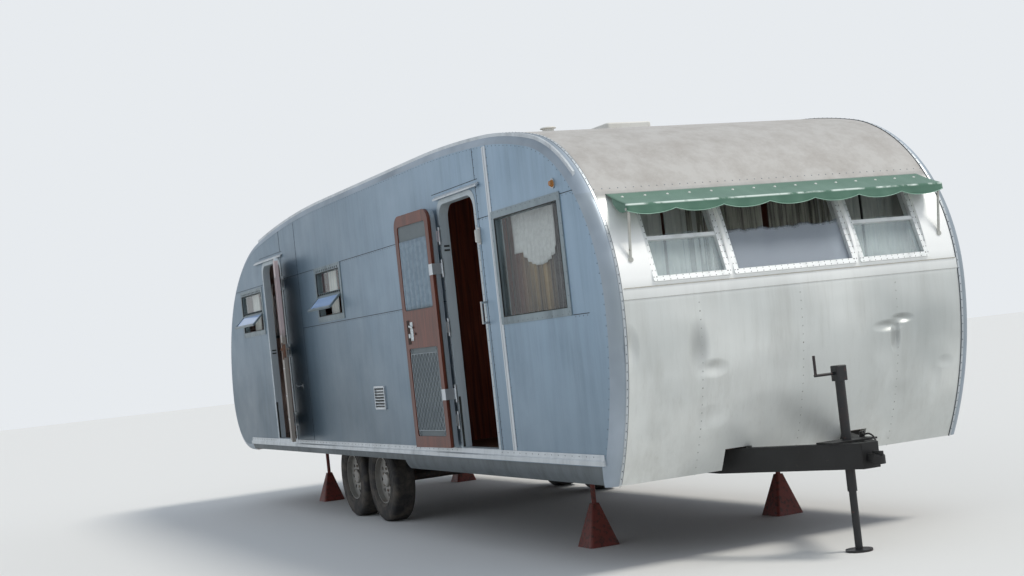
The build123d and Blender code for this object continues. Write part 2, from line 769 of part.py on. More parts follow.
# Fixed halves of the door hinges, on the wall's outer skin
with BuildPart() as hinge_plates:
    for door, places in ((FRONT_DOOR, HINGE_PLACES + SCREEN_HINGE_PLACES), (REAR_DOOR, HINGE_PLACES)):
        for up in places:
            for low in (up - HINGE_KNUCKLE - HINGE_PLAY, up + HINGE_LENGTH + HINGE_PLAY):
                with BuildSketch(Plane.XY.offset(z(DOOR_SILL + low))):
                    with Locations((x(door["hinge"]), -half - HINGE_STANDOFF)):
                        Circle(HINGE_RADIUS)
                    with Locations((x(door["hinge"]), -half - (HINGE_STANDOFF + JAMB_PROUD) / 2)):
                        Rectangle(HINGE_PLATE, HINGE_STANDOFF - JAMB_PROUD)
                extrude(amount=HINGE_KNUCKLE)
            span = HINGE_LENGTH + 2 * (HINGE_KNUCKLE + HINGE_PLAY)
            with BuildSketch(door_side_plane):
                edge = x(door["hinge"]) - door["run"] * (JAMB_LINING + JAMB_FLANGE + HINGE_STRAP / 2)
                with Locations((edge, z(DOOR_SILL + up) + HINGE_LENGTH / 2)):
                    Rectangle(HINGE_STRAP, span)
            extrude(amount=JAMB_PROUD)
            with BuildSketch(door_side_plane.offset(JAMB_PROUD)):
                edge = x(door["hinge"]) - door["run"] * (JAMB_LINING + JAMB_FLANGE + HINGE_STRAP) / 2
                for low in (up - HINGE_KNUCKLE - HINGE_PLAY, up + HINGE_LENGTH + HINGE_PLAY):
                    with Locations((edge, z(DOOR_SILL + low) + HINGE_KNUCKLE / 2)):
                        Rectangle(JAMB_LINING + JAMB_FLANGE + HINGE_STRAP, HINGE_KNUCKLE)
            extrude(amount=HINGE_PLATE)
hinge_plates.part.label = "hinge_plates"
export_step(hinge_plates.part, "parts/hinge_plates.step")


# Windows. Each side frame lines its opening, with a flange outside and a bar for the lower sash.
side_windows = [(-1, *row) for row in DOOR_SIDE_WINDOWS] + [(1, *row) for row in ROAD_SIDE_WINDOWS]


def ring(width, height, bar, corner):
    """Draw a rounded frame of one bar width about its middle."""
    with BuildSketch() as shape:
        RectangleRounded(width, height, corner)
        Rectangle(width - 2 * bar, height - 2 * bar, mode=Mode.SUBTRACT)
    return shape.sketch


with BuildPart() as window_frames:
    for face, centre, sill, width, height in side_windows:
        place = (x(centre), z(sill) + height / 2)
        with BuildSketch(wall_plane(face, WALL)):
            with Locations(place):
                add(ring(width, height, WINDOW_BAR, WINDOW_CORNER))
        extrude(amount=-face * (WALL + WINDOW_PROUD))
        with BuildSketch(wall_plane(face)):
            with Locations(place):
                edges = (width + 2 * WINDOW_FLANGE, height + 2 * WINDOW_FLANGE)
                add(ring(*edges, WINDOW_FLANGE, WINDOW_CORNER))
        extrude(amount=-face * WINDOW_PROUD)
        if height < SASH_LIMIT:
            with BuildSketch(wall_plane(face, GLASS_DEPTH + GLASS)):
                with Locations(place):
                    Rectangle(width - 2 * WINDOW_BAR, SASH_RAIL)
            extrude(amount=-face * (GLASS_DEPTH + GLASS))

with BuildPart() as window_glass:
    for face, centre, sill, width, height in side_windows:
        upper = height - 2 * WINDOW_BAR
        if height < SASH_LIMIT:
            upper = (upper - SASH_RAIL) / 2
        with BuildSketch(wall_plane(face, GLASS_DEPTH + GLASS)):
            with Locations((x(centre), z(sill) + height - WINDOW_BAR)):
                Rectangle(width - 2 * WINDOW_BAR, upper, align=(Align.CENTER, Align.MAX))
        extrude(amount=-face * GLASS)

# Lower sashes, hung from the middle rail: open on the door side, shut on the road side
for face, centre, sill, width, height in side_windows:
    if height > SASH_LIMIT:
        continue
    swing = radians(SASH_OPEN if face < 0 else 0)
    hang = Vector(x(centre), face * half, z(sill) + height / 2 - SASH_RAIL / 2 - SASH_HANG)
    down = Vector(0, face * sin(swing), -cos(swing))
    outward = Vector(0, face * cos(swing), sin(swing))
    sash_width = width - 2 * WINDOW_BAR - 2 * SASH_GAP
    sash_height = height / 2 - WINDOW_BAR - SASH_RAIL / 2 - 2 * SASH_GAP
    sash_plane = Plane(hang - outward * SASH_THICK, x_dir=(-face, 0, 0), z_dir=outward)
    with window_frames:
        with BuildSketch(sash_plane):
            with Locations((0, -sash_height / 2)):
                Rectangle(sash_width, sash_height)
                Rectangle(sash_width - 2 * SASH_BAR, sash_height - 2 * SASH_BAR, mode=Mode.SUBTRACT)
        extrude(amount=SASH_THICK)
    with window_glass:
        with BuildSketch(sash_plane.offset((SASH_THICK - GLASS) / 2)):
            with Locations((0, -sash_height / 2)):
                Rectangle(sash_width - 2 * SASH_BAR, sash_height - 2 * SASH_BAR)
        extrude(amount=GLASS)

# Front and rear windows, flat frames set in the curved panels
with window_frames:
    for plane, rows, height in (
        (front_glazing, FRONT_WINDOWS, front_glass_height),
        (rear_glazing, REAR_WINDOWS, rear_glass_height),
    ):
        for centre, width in rows:
            with BuildSketch(plane.offset(-WALL)):
                with Locations((centre, 0)):
                    add(ring(width, height, WINDOW_BAR, WINDOW_CORNER))
            extrude(amount=WALL + END_WINDOW_PROUD)
            if width < END_RAIL_LIMIT:
                with BuildSketch(plane.offset(-GLASS_DEPTH)):
                    with Locations((centre, 0)):
                        Rectangle(width - 2 * WINDOW_BAR, SASH_RAIL)
                extrude(amount=GLASS_DEPTH + END_WINDOW_PROUD / 2)
window_frames.part.label = "window_frames"
export_step(window_frames.part, "parts/window_frames.step")

with window_glass:
    for plane, rows, height in (
        (front_glazing, FRONT_WINDOWS, front_glass_height),
        (rear_glazing, REAR_WINDOWS, rear_glass_height),
    ):
        for centre, width in rows:
            with BuildSketch(plane.offset(-GLASS_DEPTH - GLASS)):
                with Locations((centre, 0)):
                    Rectangle(width - 2 * WINDOW_BAR, height - 2 * WINDOW_BAR)
            extrude(amount=GLASS)
window_glass.part.label = "window_glass"
export_step(window_glass.part, "parts/window_glass.step")

# Floor slab with a box over each pair of wheels
box_length = AXLE_SPACING + 2 * (TYRE_RADIUS + TYRE_CLEARANCE)
box_side = WHEEL_TRACK / 2 - TYRE_WIDTH / 2 - TYRE_CLEARANCE
box_top = z(2 * TYRE_RADIUS + BUMP_TRAVEL)
floor_front = front_skin_x(frame_top, WALL) - FLOOR_PLAY
floor_rear = rear_skin_x(frame_top, WALL) + FLOOR_PLAY
with BuildPart() as floor:
    with BuildSketch(Plane.XY.offset(floor_bottom)):
        with Locations(((floor_front + floor_rear) / 2, 0)):
            Rectangle(floor_front - floor_rear, 2 * inner)
        for face in (-1, 1):
            with Locations((x(AXLE_PLACE), face * (box_side + inner) / 2)):
                Rectangle(box_length, inner - box_side, mode=Mode.SUBTRACT)
    extrude(amount=FLOOR_THICKNESS)
    for face in (-1, 1):
        place = (x(AXLE_PLACE), face * (box_side + inner - WHEEL_BOX_BOARD) / 2)
        with BuildSketch(Plane.XY.offset(floor_bottom)):
            with Locations(place):
                Rectangle(box_length + 2 * WHEEL_BOX_BOARD, inner - box_side + WHEEL_BOX_BOARD)
        extrude(amount=box_top - floor_bottom + WHEEL_BOX_BOARD)
    for face in (-1, 1):
        with BuildSketch(Plane.XY.offset(floor_bottom)):
            with Locations((x(AXLE_PLACE), face * (box_side + inner) / 2)):
                Rectangle(box_length, inner - box_side)
        extrude(amount=box_top - floor_bottom, mode=Mode.SUBTRACT)
floor.part.label = "floor"
export_step(floor.part, "parts/floor.step")

# Partitions that show through the doorways and windows, from the floor to the curved roof
partitions = BuildPart()
for back, thickness in ((FRONT_PARTITION, PARTITION_BOARD), (REAR_PARTITION, PARTITION_BOARD)):
    with partitions:
        with BuildSketch(Plane.YZ.offset(x(back))):
            with Locations((-inner, floor_top)):
                Rectangle(
                    2 * inner - PASSAGE_WIDTH,
                    z(ROOF_HEIGHT) - WALL - PARTITION_GAP - floor_top,
                    align=(Align.MIN, Align.MIN),
                )
        extrude(amount=-thickness)
with partitions:
    with BuildSketch(side_plane):
        add(room_outline)
    extrude(amount=half, both=True, mode=Mode.INTERSECT)
partitions.part.label = "partitions"
export_step(partitions.part, "parts/partitions.step")


# Steel frame under the floor: two rails, cross members between them and outriggers to the walls
def channel(depth, flange, open_to):
    """Draw a channel section, its web at zero, its flanges towards the given side."""
    with BuildSketch() as shape:
        Rectangle(flange, depth, align=(Align.MIN if open_to > 0 else Align.MAX, Align.MAX))
        with Locations((open_to * FRAME_WEB, -FRAME_WEB)):
            Rectangle(
                flange,
                depth - 2 * FRAME_WEB,
                align=(Align.MIN if open_to > 0 else Align.MAX, Align.MAX),
                mode=Mode.SUBTRACT,
            )
    return shape.sketch


rail_sections = {face: channel(FRAME_DEPTH, FRAME_FLANGE, -face) for face in (-1, 1)}
frame_front = x(FRAME_FRONT)
frame_rear = x(FRAME_REAR)
with BuildPart() as chassis_frame:
    for face in (-1, 1):
        with BuildSketch(Plane.YZ.offset(frame_rear)):
            with Locations((face * RAIL_SPREAD / 2, floor_bottom)):
                add(rail_sections[face])
        extrude(amount=frame_front - frame_rear)
    for back in CROSS_MEMBERS:
        with BuildSketch(Plane.XZ.offset(-RAIL_SPREAD / 2 + FRAME_WEB)):
            with Locations((x(back), floor_bottom)):
                add(channel(CROSS_DEPTH, FRAME_FLANGE, 1))
        extrude(amount=RAIL_SPREAD - 2 * FRAME_WEB)
    for back in OUTRIGGERS:
        for face in (-1, 1):
            with BuildSketch(Plane.YZ.offset(x(back))):
                with BuildLine():
                    Polyline(
                        (face * RAIL_SPREAD / 2, floor_bottom),
                        (face * (half - OUTRIGGER_SHORT), floor_bottom),
                        (face * (half - OUTRIGGER_SHORT), floor_bottom - OUTRIGGER_TIP),
                        (face * RAIL_SPREAD / 2, floor_bottom - CROSS_DEPTH),
                        close=True,
                    )
                make_face()
            extrude(amount=FRAME_WEB)
    for back in STAND_BEAMS:
        with BuildSketch(Plane.YZ.offset(x(back))):
            with Locations((0, floor_bottom)):
                Rectangle(2 * STAND_SPREAD + BEAM_OVERHANG, BEAM_DEPTH, align=(Align.CENTER, Align.MAX))
            with Locations((0, floor_bottom)):
                Rectangle(
                    RAIL_SPREAD - 2 * FRAME_FLANGE,
                    BEAM_DEPTH,
                    align=(Align.CENTER, Align.MAX),
                    mode=Mode.SUBTRACT,
                )
        extrude(amount=BEAM_WIDTH / 2, both=True)
chassis_frame.part.label = "chassis_frame"
export_step(chassis_frame.part, "parts/chassis_frame.step")

# Drawbar: two channels that run together from the frame rails to the coupler
nose = x(-HITCH_REACH) - COUPLER_BACK
arm_start = Vector(frame_front, RAIL_SPREAD / 2)
arm_end = Vector(nose, NOSE_WIDTH / 2)
arm_run = arm_end - arm_start
arm_turn = degrees(atan2(arm_start.Y - arm_end.Y, arm_end.X - arm_start.X))
tongue_frame = BuildPart()
for face in (-1, 1):
    along = Vector(arm_run.X, face * arm_run.Y, 0).normalized()
    across = Vector(-along.Y, along.X, 0)
    base = Vector(arm_start.X, face * arm_start.Y, floor_bottom) - along * RAIL_SPREAD / 2
    with tongue_frame:
        with BuildSketch(Plane(base, x_dir=across, z_dir=along)):
            add(rail_sections[face])
        extrude(amount=arm_run.length + RAIL_SPREAD)
with tongue_frame:
    with BuildSketch(Plane.XY.offset(floor_bottom - FRAME_DEPTH)):
        with Locations((frame_front, 0)):
            Rectangle(nose - frame_front, RAIL_SPREAD, align=(Align.MIN, Align.CENTER))
    extrude(amount=FRAME_DEPTH, mode=Mode.INTERSECT)
    with BuildSketch(Plane.XY.offset(floor_bottom - FRAME_DEPTH)):
        with Locations((nose, 0)):
            Rectangle(NOSE_PLATE, NOSE_WIDTH, align=(Align.MIN, Align.CENTER))
    extrude(amount=FRAME_DEPTH)
    with BuildSketch(Plane.XY.offset(floor_bottom)):
        with Locations((-JACK_BACK, 0)):
            Rectangle(JACK_PLATE_LENGTH, JACK_PLATE_WIDTH)
            Circle(JACK_TUBE_RADIUS, mode=Mode.SUBTRACT)
    extrude(amount=JACK_PLATE)

# Black lead that loops out of a clip on the left arm's top and back into one on its face.
# Its points are along the arm, up from its top and in from its face.
arm_along = Vector(arm_run.X, arm_run.Y, 0).normalized()
arm_spot = Vector(arm_start.X, arm_start.Y, floor_bottom) + arm_along * LEAD_PLACE
arm_side = Plane(arm_spot, x_dir=arm_along, z_dir=(arm_along.Y, -arm_along.X, 0))
lead_route = [
    (0, LEAD_CLIP, LEAD_INBOARD),
    (58, LEAD_CLIP, LEAD_INBOARD),
    (116, LEAD_CLIP + 10, 12),
    (168, 14, -6),
    (188, -42, -12),
    (166, -98, -12),
    (112, LEAD_CLIP / 2 - FRAME_DEPTH, -LEAD_CLIP / 2),
    (54, LEAD_CLIP / 2 - FRAME_DEPTH, -LEAD_CLIP / 2),
]
with tongue_frame:
    with BuildSketch(arm_side.offset(LEAD_INBOARD - LEAD_CLIP / 2)):
        Rectangle(LEAD_CLIP, LEAD_CLIP * 3 / 2, align=(Align.MAX, Align.MIN))
    extrude(amount=LEAD_CLIP)
    with BuildSketch(arm_side):
        with Locations((lead_route[-1][0], -FRAME_DEPTH)):
            Rectangle(LEAD_CLIP, LEAD_CLIP, align=(Align.MAX, Align.MIN))
    extrude(amount=-LEAD_CLIP)
tongue_frame.part.label = "tongue_frame"
export_step(tongue_frame.part, "parts/tongue_frame.step")

lead_points = [arm_side.from_local_coords(point) for point in lead_route]
steps = [Vector(*b) - Vector(*a) for a, b in zip(lead_points, lead_points[1:])]
bends = [
    0.45 * min(a.length, b.length) / tan(radians(a.get_angle(b) / 2))
    for a, b in zip(steps, steps[1:])
]
print("lead bends", [round(bend) for bend in bends])
with BuildPart() as tongue_lead:
    with BuildLine() as route:
        FilletPolyline(*lead_points, radius=bends)
    with BuildSketch(Plane(route.line @ 0, z_dir=route.line % 0)):
        Circle(LEAD_RADIUS)
    sweep()
tongue_lead.part.label = "tongue_lead"
export_step(tongue_lead.part, "parts/tongue_lead.step")
lead_length = sum(edge.length for edge in route.edges())
print("lead length", round(lead_length), "section", round(tongue_lead.part.volume / lead_length, 2))

# Coupler: a cast cup over the ball, a neck back to the nose plate and a latch on top
with BuildPart() as coupler:
    with BuildSketch(Plane.XY.offset(-SOCKET_MOUTH)):
        Circle(CUP_RADIUS)
    extrude(amount=CUP_HEIGHT)
    fillet(coupler.edges().group_by(Axis.Z)[-1], CUP_ROUND)
    with BuildSketch(Plane.YZ.offset(nose + NOSE_PLATE)):
        with Locations((0, NECK_HEIGHT / 2)):
            RectangleRounded(NECK_WIDTH, NECK_HEIGHT, NECK_ROUND)
    extrude(amount=-nose - NOSE_PLATE)
    with BuildSketch(Plane.XY.offset(CUP_HEIGHT - SOCKET_MOUTH - 1)):
        SlotCenterPoint((0, 0), (-LATCH_LENGTH / 2, 0), LATCH_WIDTH)
    extrude(amount=LATCH_HEIGHT)
    with BuildSketch(Plane.XY.offset(-SOCKET_MOUTH)):
        Circle(SOCKET_RADIUS)
    extrude(amount=SOCKET_MOUTH + SOCKET_PLAY, mode=Mode.SUBTRACT)
    with BuildSketch(Plane.XZ) as dome:
        with BuildLine():
            Line((0, SOCKET_PLAY), (SOCKET_RADIUS, SOCKET_PLAY))
            JernArc((SOCKET_RADIUS, SOCKET_PLAY), (0, 1), SOCKET_RADIUS, 90)
            Line((0, SOCKET_PLAY + SOCKET_RADIUS), (0, SOCKET_PLAY))
        make_face()
    revolve(axis=Axis.Z, mode=Mode.SUBTRACT)
coupler.part.label = "coupler"
export_step(coupler.part, "parts/coupler.step")

# Tongue jack: outer tube with its gear head, inner leg and foot
head_bottom = z(JACK_TOP) - JACK_HEAD_HEIGHT
with BuildPart() as tongue_jack:
    with BuildSketch(Plane.XY.offset(z(JACK_TUBE_BOTTOM))):
        with Locations((-JACK_BACK, 0)):
            Circle(JACK_TUBE_RADIUS)
    extrude(amount=head_bottom - z(JACK_TUBE_BOTTOM))
    with BuildSketch(Plane.XY.offset(head_bottom)):
        with Locations((-JACK_BACK, 0)):
            RectangleRounded(JACK_HEAD_WIDTH, JACK_HEAD_WIDTH, JACK_HEAD_ROUND)
    extrude(amount=JACK_HEAD_HEIGHT)
    fillet(tongue_jack.edges().group_by(Axis.Z)[-1], JACK_HEAD_ROUND / 2)
    with BuildSketch(Plane.XY.offset(GROUND + JACK_FOOT)):
        with Locations((-JACK_BACK, 0)):
            Circle(JACK_LEG_RADIUS)
    extrude(amount=z(JACK_TUBE_BOTTOM) - GROUND - JACK_FOOT)
    with BuildSketch(Plane.XY.offset(GROUND)):
        with Locations((-JACK_BACK, 0)):
            Circle(JACK_FOOT_RADIUS)
    extrude(amount=JACK_FOOT)
    crank_z = head_bottom + JACK_HEAD_HEIGHT / 2
    with BuildSketch(Plane.XZ.offset(JACK_HEAD_WIDTH / 2)):
        with Locations((-JACK_BACK, crank_z)):
            Circle(CRANK_RADIUS)
    extrude(amount=CRANK_REACH + CRANK_RADIUS)
    with BuildSketch(Plane.XY.offset(crank_z)):
        with Locations((-JACK_BACK, -JACK_HEAD_WIDTH / 2 - CRANK_REACH)):
            Circle(CRANK_RADIUS)
    extrude(amount=CRANK_HANDLE)
tongue_jack.part.label = "tongue_jack"
export_step(tongue_jack.part, "parts/tongue_jack.step")

# Jack stands under the stand beams: a pyramid base, a screw and a saddle
stand_top = floor_bottom - BEAM_DEPTH
with BuildPart() as jack_stands:
    for back in STAND_BEAMS:
        for face in (-1, 1):
            spot = (x(back), face * STAND_SPREAD)
            with BuildSketch(Plane.XY.offset(GROUND)):
                with Locations(spot):
                    RectangleRounded(STAND_BASE, STAND_BASE, STAND_ROUND)
            with BuildSketch(Plane.XY.offset(GROUND + STAND_CONE)):
                with Locations(spot):
                    RectangleRounded(STAND_NECK, STAND_NECK, STAND_ROUND / 2)
            loft()
            with BuildSketch(Plane.XY.offset(GROUND + STAND_CONE)):
                with Locations(spot):
                    Circle(STAND_SCREW)
            extrude(amount=stand_top - GROUND - STAND_CONE - STAND_SADDLE)
            with BuildSketch(Plane.XY.offset(stand_top - STAND_SADDLE)):
                with Locations(spot):
                    Rectangle(BEAM_WIDTH, BEAM_WIDTH)
            extrude(amount=STAND_SADDLE)
jack_stands.part.label = "jack_stands"
export_step(jack_stands.part, "parts/jack_stands.step")

# Axles and leaf springs
axle_places = [AXLE_PLACE - AXLE_SPACING / 2, AXLE_PLACE + AXLE_SPACING / 2]
hub_z = z(TYRE_RADIUS)
hub_inside = WHEEL_TRACK / 2 - HUB_BACK
with BuildPart() as axles:
    for back in axle_places:
        with BuildSketch(Plane.XZ):
            with Locations((x(back), hub_z)):
                Circle(AXLE_RADIUS)
        extrude(amount=hub_inside - AXLE_SHOULDER_GAP, both=True)
        with BuildSketch(Plane.XZ):
            with Locations((x(back), hub_z)):
                Circle(SPINDLE_RADIUS)
        extrude(amount=hub_inside + SPINDLE_LENGTH, both=True)
axles.part.label = "axles"
export_step(axles.part, "parts/axles.step")

spring_low = hub_z + AXLE_RADIUS
frame_low = floor_bottom - FRAME_DEPTH
spring_seat = RAIL_SPREAD / 2 - FRAME_FLANGE / 2
with BuildPart() as leaf_springs:
    for back in axle_places:
        for face in (-1, 1):
            with BuildSketch(Plane.XZ.offset(-face * spring_seat)):
                with BuildLine():
                    low = ThreePointArc(
                        (x(back) - SPRING_LENGTH / 2, spring_low + SPRING_RISE),
                        (x(back), spring_low),
                        (x(back) + SPRING_LENGTH / 2, spring_low + SPRING_RISE),
                    )
                    high = ThreePointArc(
                        (x(back) + SPRING_LENGTH / 2, spring_low + SPRING_RISE + SPRING_TIP),
                        (x(back), spring_low + SPRING_PACK),
                        (x(back) - SPRING_LENGTH / 2, spring_low + SPRING_RISE + SPRING_TIP),
                    )
                    Line(low @ 1, high @ 0)
                    Line(high @ 1, low @ 0)
                make_face()
            extrude(amount=SPRING_WIDTH / 2, both=True)
            for end in (-1, 1):
                hang = x(back) + end * (SPRING_LENGTH / 2 - HANGER_LENGTH / 2)
                with BuildSketch(Plane.XY.offset(frame_low)):
                    with Locations((hang, face * spring_seat)):
                        Rectangle(HANGER_LENGTH, SPRING_WIDTH)
                extrude(amount=-(frame_low - spring_low - SPRING_RISE - SPRING_TIP / 2))
leaf_springs.part.label = "leaf_springs"
export_step(leaf_springs.part, "parts/leaf_springs.step")

# Wheels: each a tyre on a steel rim with its hub, turning on the spindle
wheels = {
    f"{end}_{side}": (back, face)
    for end, back in zip(("front", "rear"), axle_places)
    for side, face in (("right", -1), ("left", 1))
}
for name, (back, face) in wheels.items():
    centre = Plane((x(back), face * WHEEL_TRACK / 2, hub_z), x_dir=(1, 0, 0), z_dir=(0, face, 0))
    section = Plane(centre.origin, x_dir=(0, 0, 1), z_dir=(1, 0, 0))
    turn_axis = Axis(centre.origin, (0, 1, 0))
    with BuildPart() as tyre:
        with BuildSketch(section) as profile:
            with Locations(((RIM_RADIUS + TYRE_RADIUS) / 2, 0)):
                Rectangle(TYRE_RADIUS - RIM_RADIUS, TYRE_WIDTH)
            fillet(profile.vertices().group_by(Axis.Z)[-1], TYRE_SHOULDER)
            fillet(profile.vertices().group_by(Axis.Z)[0], TYRE_BEAD)
        revolve(axis=turn_axis)
    tyre.part.label = f"tyre_{name}"
    export_step(tyre.part, f"parts/tyre_{name}.step")

    with BuildPart() as rim:
        outer_rim = RIM_RADIUS - RIM_PLAY
        with BuildSketch(centre.offset(-RIM_WIDTH / 2)):
            Circle(outer_rim)
            Circle(outer_rim - RIM_SHEET, mode=Mode.SUBTRACT)
        extrude(amount=RIM_WIDTH)
        with BuildSketch(centre.offset(DISC_PLACE)):
            Circle(outer_rim - RIM_SHEET)
            with PolarLocations(DISC_HOLE_RING, DISC_HOLES):
                Circle(DISC_HOLE, mode=Mode.SUBTRACT)
        extrude(amount=RIM_SHEET)
        with BuildSketch(centre.offset(-HUB_BACK)):
            Circle(HUB_RADIUS)
        extrude(amount=HUB_BACK + DISC_PLACE + HUB_NOSE)
        hub_rims = rim.edges().filter_by(GeomType.CIRCLE).filter_by(
            lambda edge: abs(edge.radius - HUB_RADIUS) < CURVE_GAP
        )
        fillet(hub_rims.sort_by_distance(centre.offset(DISC_PLACE + HUB_NOSE).origin)[0], HUB_ROUND)
        with BuildSketch(centre.offset(-HUB_BACK)):
            Circle(SPINDLE_RADIUS + SPINDLE_PLAY)
        extrude(amount=SPINDLE_LENGTH + SPINDLE_PLAY * 10, mode=Mode.SUBTRACT)
    rim.part.label = f"rim_{name}"
    export_step(rim.part, f"parts/rim_{name}.step")

# Belt rail along the foot of each side wall, drip caps over the doorways, and the rolled skirts
rail_low = z(RAIL_HEIGHT) - RAIL_DEPTH
with BuildPart() as side_trims:
    for face in (-1, 1):
        with BuildSketch(Plane.YZ.offset(x(RAIL_LENGTH))):
            with BuildLine():
                Polyline(
                    (face * half, rail_low),
                    (face * (half + RAIL_PROUD), rail_low),
                    (face * (half + RAIL_PROUD), rail_low + RAIL_LIP),
                    (face * (half + RAIL_PROUD / 2), rail_low + RAIL_LIP + RAIL_PROUD / 2),
                    (face * (half + RAIL_PROUD / 3), z(RAIL_HEIGHT)),
                    (face * half, z(RAIL_HEIGHT)),
                    close=True,
                )
            make_face()
        extrude(amount=RAIL_LENGTH)
    for door in (FRONT_DOOR, REAR_DOOR):
        ahead, behind = door["drip"]
        jambs = sorted((x(door["hinge"]), x(door["hinge"]) + door["run"] * DOOR_OPENING))
        top = z(DOOR_HEAD) + DRIP_RISE
        with BuildSketch(Plane.YZ.offset(jambs[0] - behind)):
            with BuildLine():
                Polyline(
                    (-half, top),
                    (-half - DRIP_PROUD, top - DRIP_FALL),
                    (-half - DRIP_PROUD, top - DRIP_FALL - DRIP_LIP),
                    (-half - DRIP_PROUD + DRIP_LIP / 2, top - DRIP_FALL - DRIP_LIP),
                    (-half, top - DRIP_LIP),
                    close=True,
                )
            make_face()
        extrude(amount=jambs[1] - jambs[0] + ahead + behind)
side_trims.part.label = "side_trims"
export_step(side_trims.part, "parts/side_trims.step")

with BuildPart() as skirts:
    for face in (-1, 1):
        for back_from, back_to, drop in SKIRTS:
            turn = degrees(asin(min(drop / SKIRT_ROLL, 1)))
            top = half - SKIRT_INSET
            with BuildSketch(Plane.YZ.offset(x(back_to))):
                with BuildLine():
                    outer_roll = JernArc((face * top, floor_bottom), (0, -1), SKIRT_ROLL, -face * turn)
                    inner_top = (face * (top - SKIRT_SHEET), floor_bottom)
                    inner_roll = JernArc(inner_top, (0, -1), SKIRT_ROLL - SKIRT_SHEET, -face * turn)
                    Line(outer_roll @ 0, inner_roll @ 0)
                    Line(outer_roll @ 1, inner_roll @ 1)
                make_face()
            extrude(amount=min(x(back_from), lip_back - CURVE_GAP) - x(back_to))
skirts.part.label = "skirts"
export_step(skirts.part, "parts/skirts.step")

# Canvas canopy over the front windows, with a scalloped valance in front and at both ends
canopy_back = (front_skin_x(CANOPY_HEIGHT), z(CANOPY_HEIGHT))
canopy_front = (canopy_back[0] + CANOPY_REACH, z(CANOPY_FRONT_HEIGHT))
canopy_slope = (CANOPY_HEIGHT - CANOPY_FRONT_HEIGHT) / CANOPY_REACH
scallop = CANOPY_WIDTH / CANOPY_SCALLOPS
with BuildPart() as canopy:
    with BuildSketch(side_plane):
        with BuildLine():
            Polyline(
                (canopy_back[0] + CANOPY_SEAT, canopy_back[1]),
                canopy_front,
                (canopy_front[0], canopy_front[1] - CANOPY_SHEET),
                (canopy_front[0] - CANOPY_SHEET, canopy_front[1] - CANOPY_SHEET),
                (canopy_back[0] + CANOPY_SEAT, canopy_back[1] - CANOPY_SHEET),
                close=True,
            )
        make_face()
    extrude(amount=CANOPY_WIDTH / 2, both=True)
    with BuildSketch(Plane.YZ.offset(canopy_front[0] - CANOPY_SHEET)):
        with BuildLine():
            valance_low = canopy_front[1] - VALANCE_SHORT
            Polyline(
                (-CANOPY_WIDTH / 2, valance_low),
                (-CANOPY_WIDTH / 2, canopy_front[1] - CANOPY_SHEET),
                (CANOPY_WIDTH / 2, canopy_front[1] - CANOPY_SHEET),
                (CANOPY_WIDTH / 2, valance_low),
            )
            for place in range(CANOPY_SCALLOPS):
                cusp = (CANOPY_WIDTH / 2 - place * scallop, valance_low)
                next_cusp = (cusp[0] - scallop, valance_low)
                SagittaArc(cusp, next_cusp, VALANCE_SHORT - VALANCE_LONG)
        make_face()
    extrude(amount=CANOPY_SHEET)
    for face in (-1, 1):
        with BuildSketch(side_plane.offset(-face * (CANOPY_WIDTH / 2 - CANOPY_SHEET))):
            with BuildLine():
                flap_top = (canopy_back[0] + END_FLAP_BACK, canopy_back[1] - END_FLAP_BACK * canopy_slope)
                flap_low = (flap_top[0], flap_top[1] - VALANCE_SHORT)
                front_low = (canopy_front[0] - CANOPY_SHEET, valance_low)
                Polyline(flap_low, flap_top, (front_low[0], canopy_front[1] - CANOPY_SHEET), front_low)
                SagittaArc(front_low, flap_low, VALANCE_LONG - VALANCE_SHORT)
            make_face()
        extrude(amount=-face * CANOPY_SHEET)
canopy.part.label = "canopy"
export_step(canopy.part, "parts/canopy.step")

# Canopy frame: a front bar on two rods that stand on the skin, and a rail at the wall
bar_centre = (canopy_front[0] - CANOPY_SHEET - CANOPY_BAR - CURVE_GAP, canopy_front[1] - BAR_DROP)
foot = (front_skin_x(CANOPY_FOOT_HEIGHT), z(CANOPY_FOOT_HEIGHT))
with BuildPart() as canopy_frame:
    with BuildSketch(side_plane):
        with Locations(bar_centre):
            Circle(CANOPY_BAR)
    extrude(amount=CANOPY_WIDTH / 2 - CANOPY_SHEET - CURVE_GAP, both=True)
    for face in (-1, 1):
        across = face * (CANOPY_WIDTH / 2 - CANOPY_ROD_INSET)
        top = Vector(bar_centre[0], across, bar_centre[1])
        low = Vector(foot[0], across, foot[1])
        run = low - top
        with BuildSketch(Plane(top, z_dir=run)):
            Circle(CANOPY_ROD)
        extrude(amount=run.length)
        with BuildSketch(Plane(low, x_dir=(0, 1, 0), z_dir=(1, 0, 0))):
            Circle(CANOPY_FOOT)
        extrude(amount=CANOPY_ROD, both=True)
    with BuildSketch(side_plane):
        with Locations((canopy_back[0], canopy_back[1] - CANOPY_SHEET - CURVE_GAP)):
            Rectangle(CANOPY_RAIL, CANOPY_RAIL, align=(Align.CENTER, Align.MAX))
    extrude(amount=CANOPY_WIDTH / 2 - CANOPY_SHEET - CURVE_GAP, both=True)
    add(cabin_block.part, mode=Mode.SUBTRACT)
canopy_frame.part.label = "canopy_frame"
export_step(canopy_frame.part, "parts/canopy_frame.step")

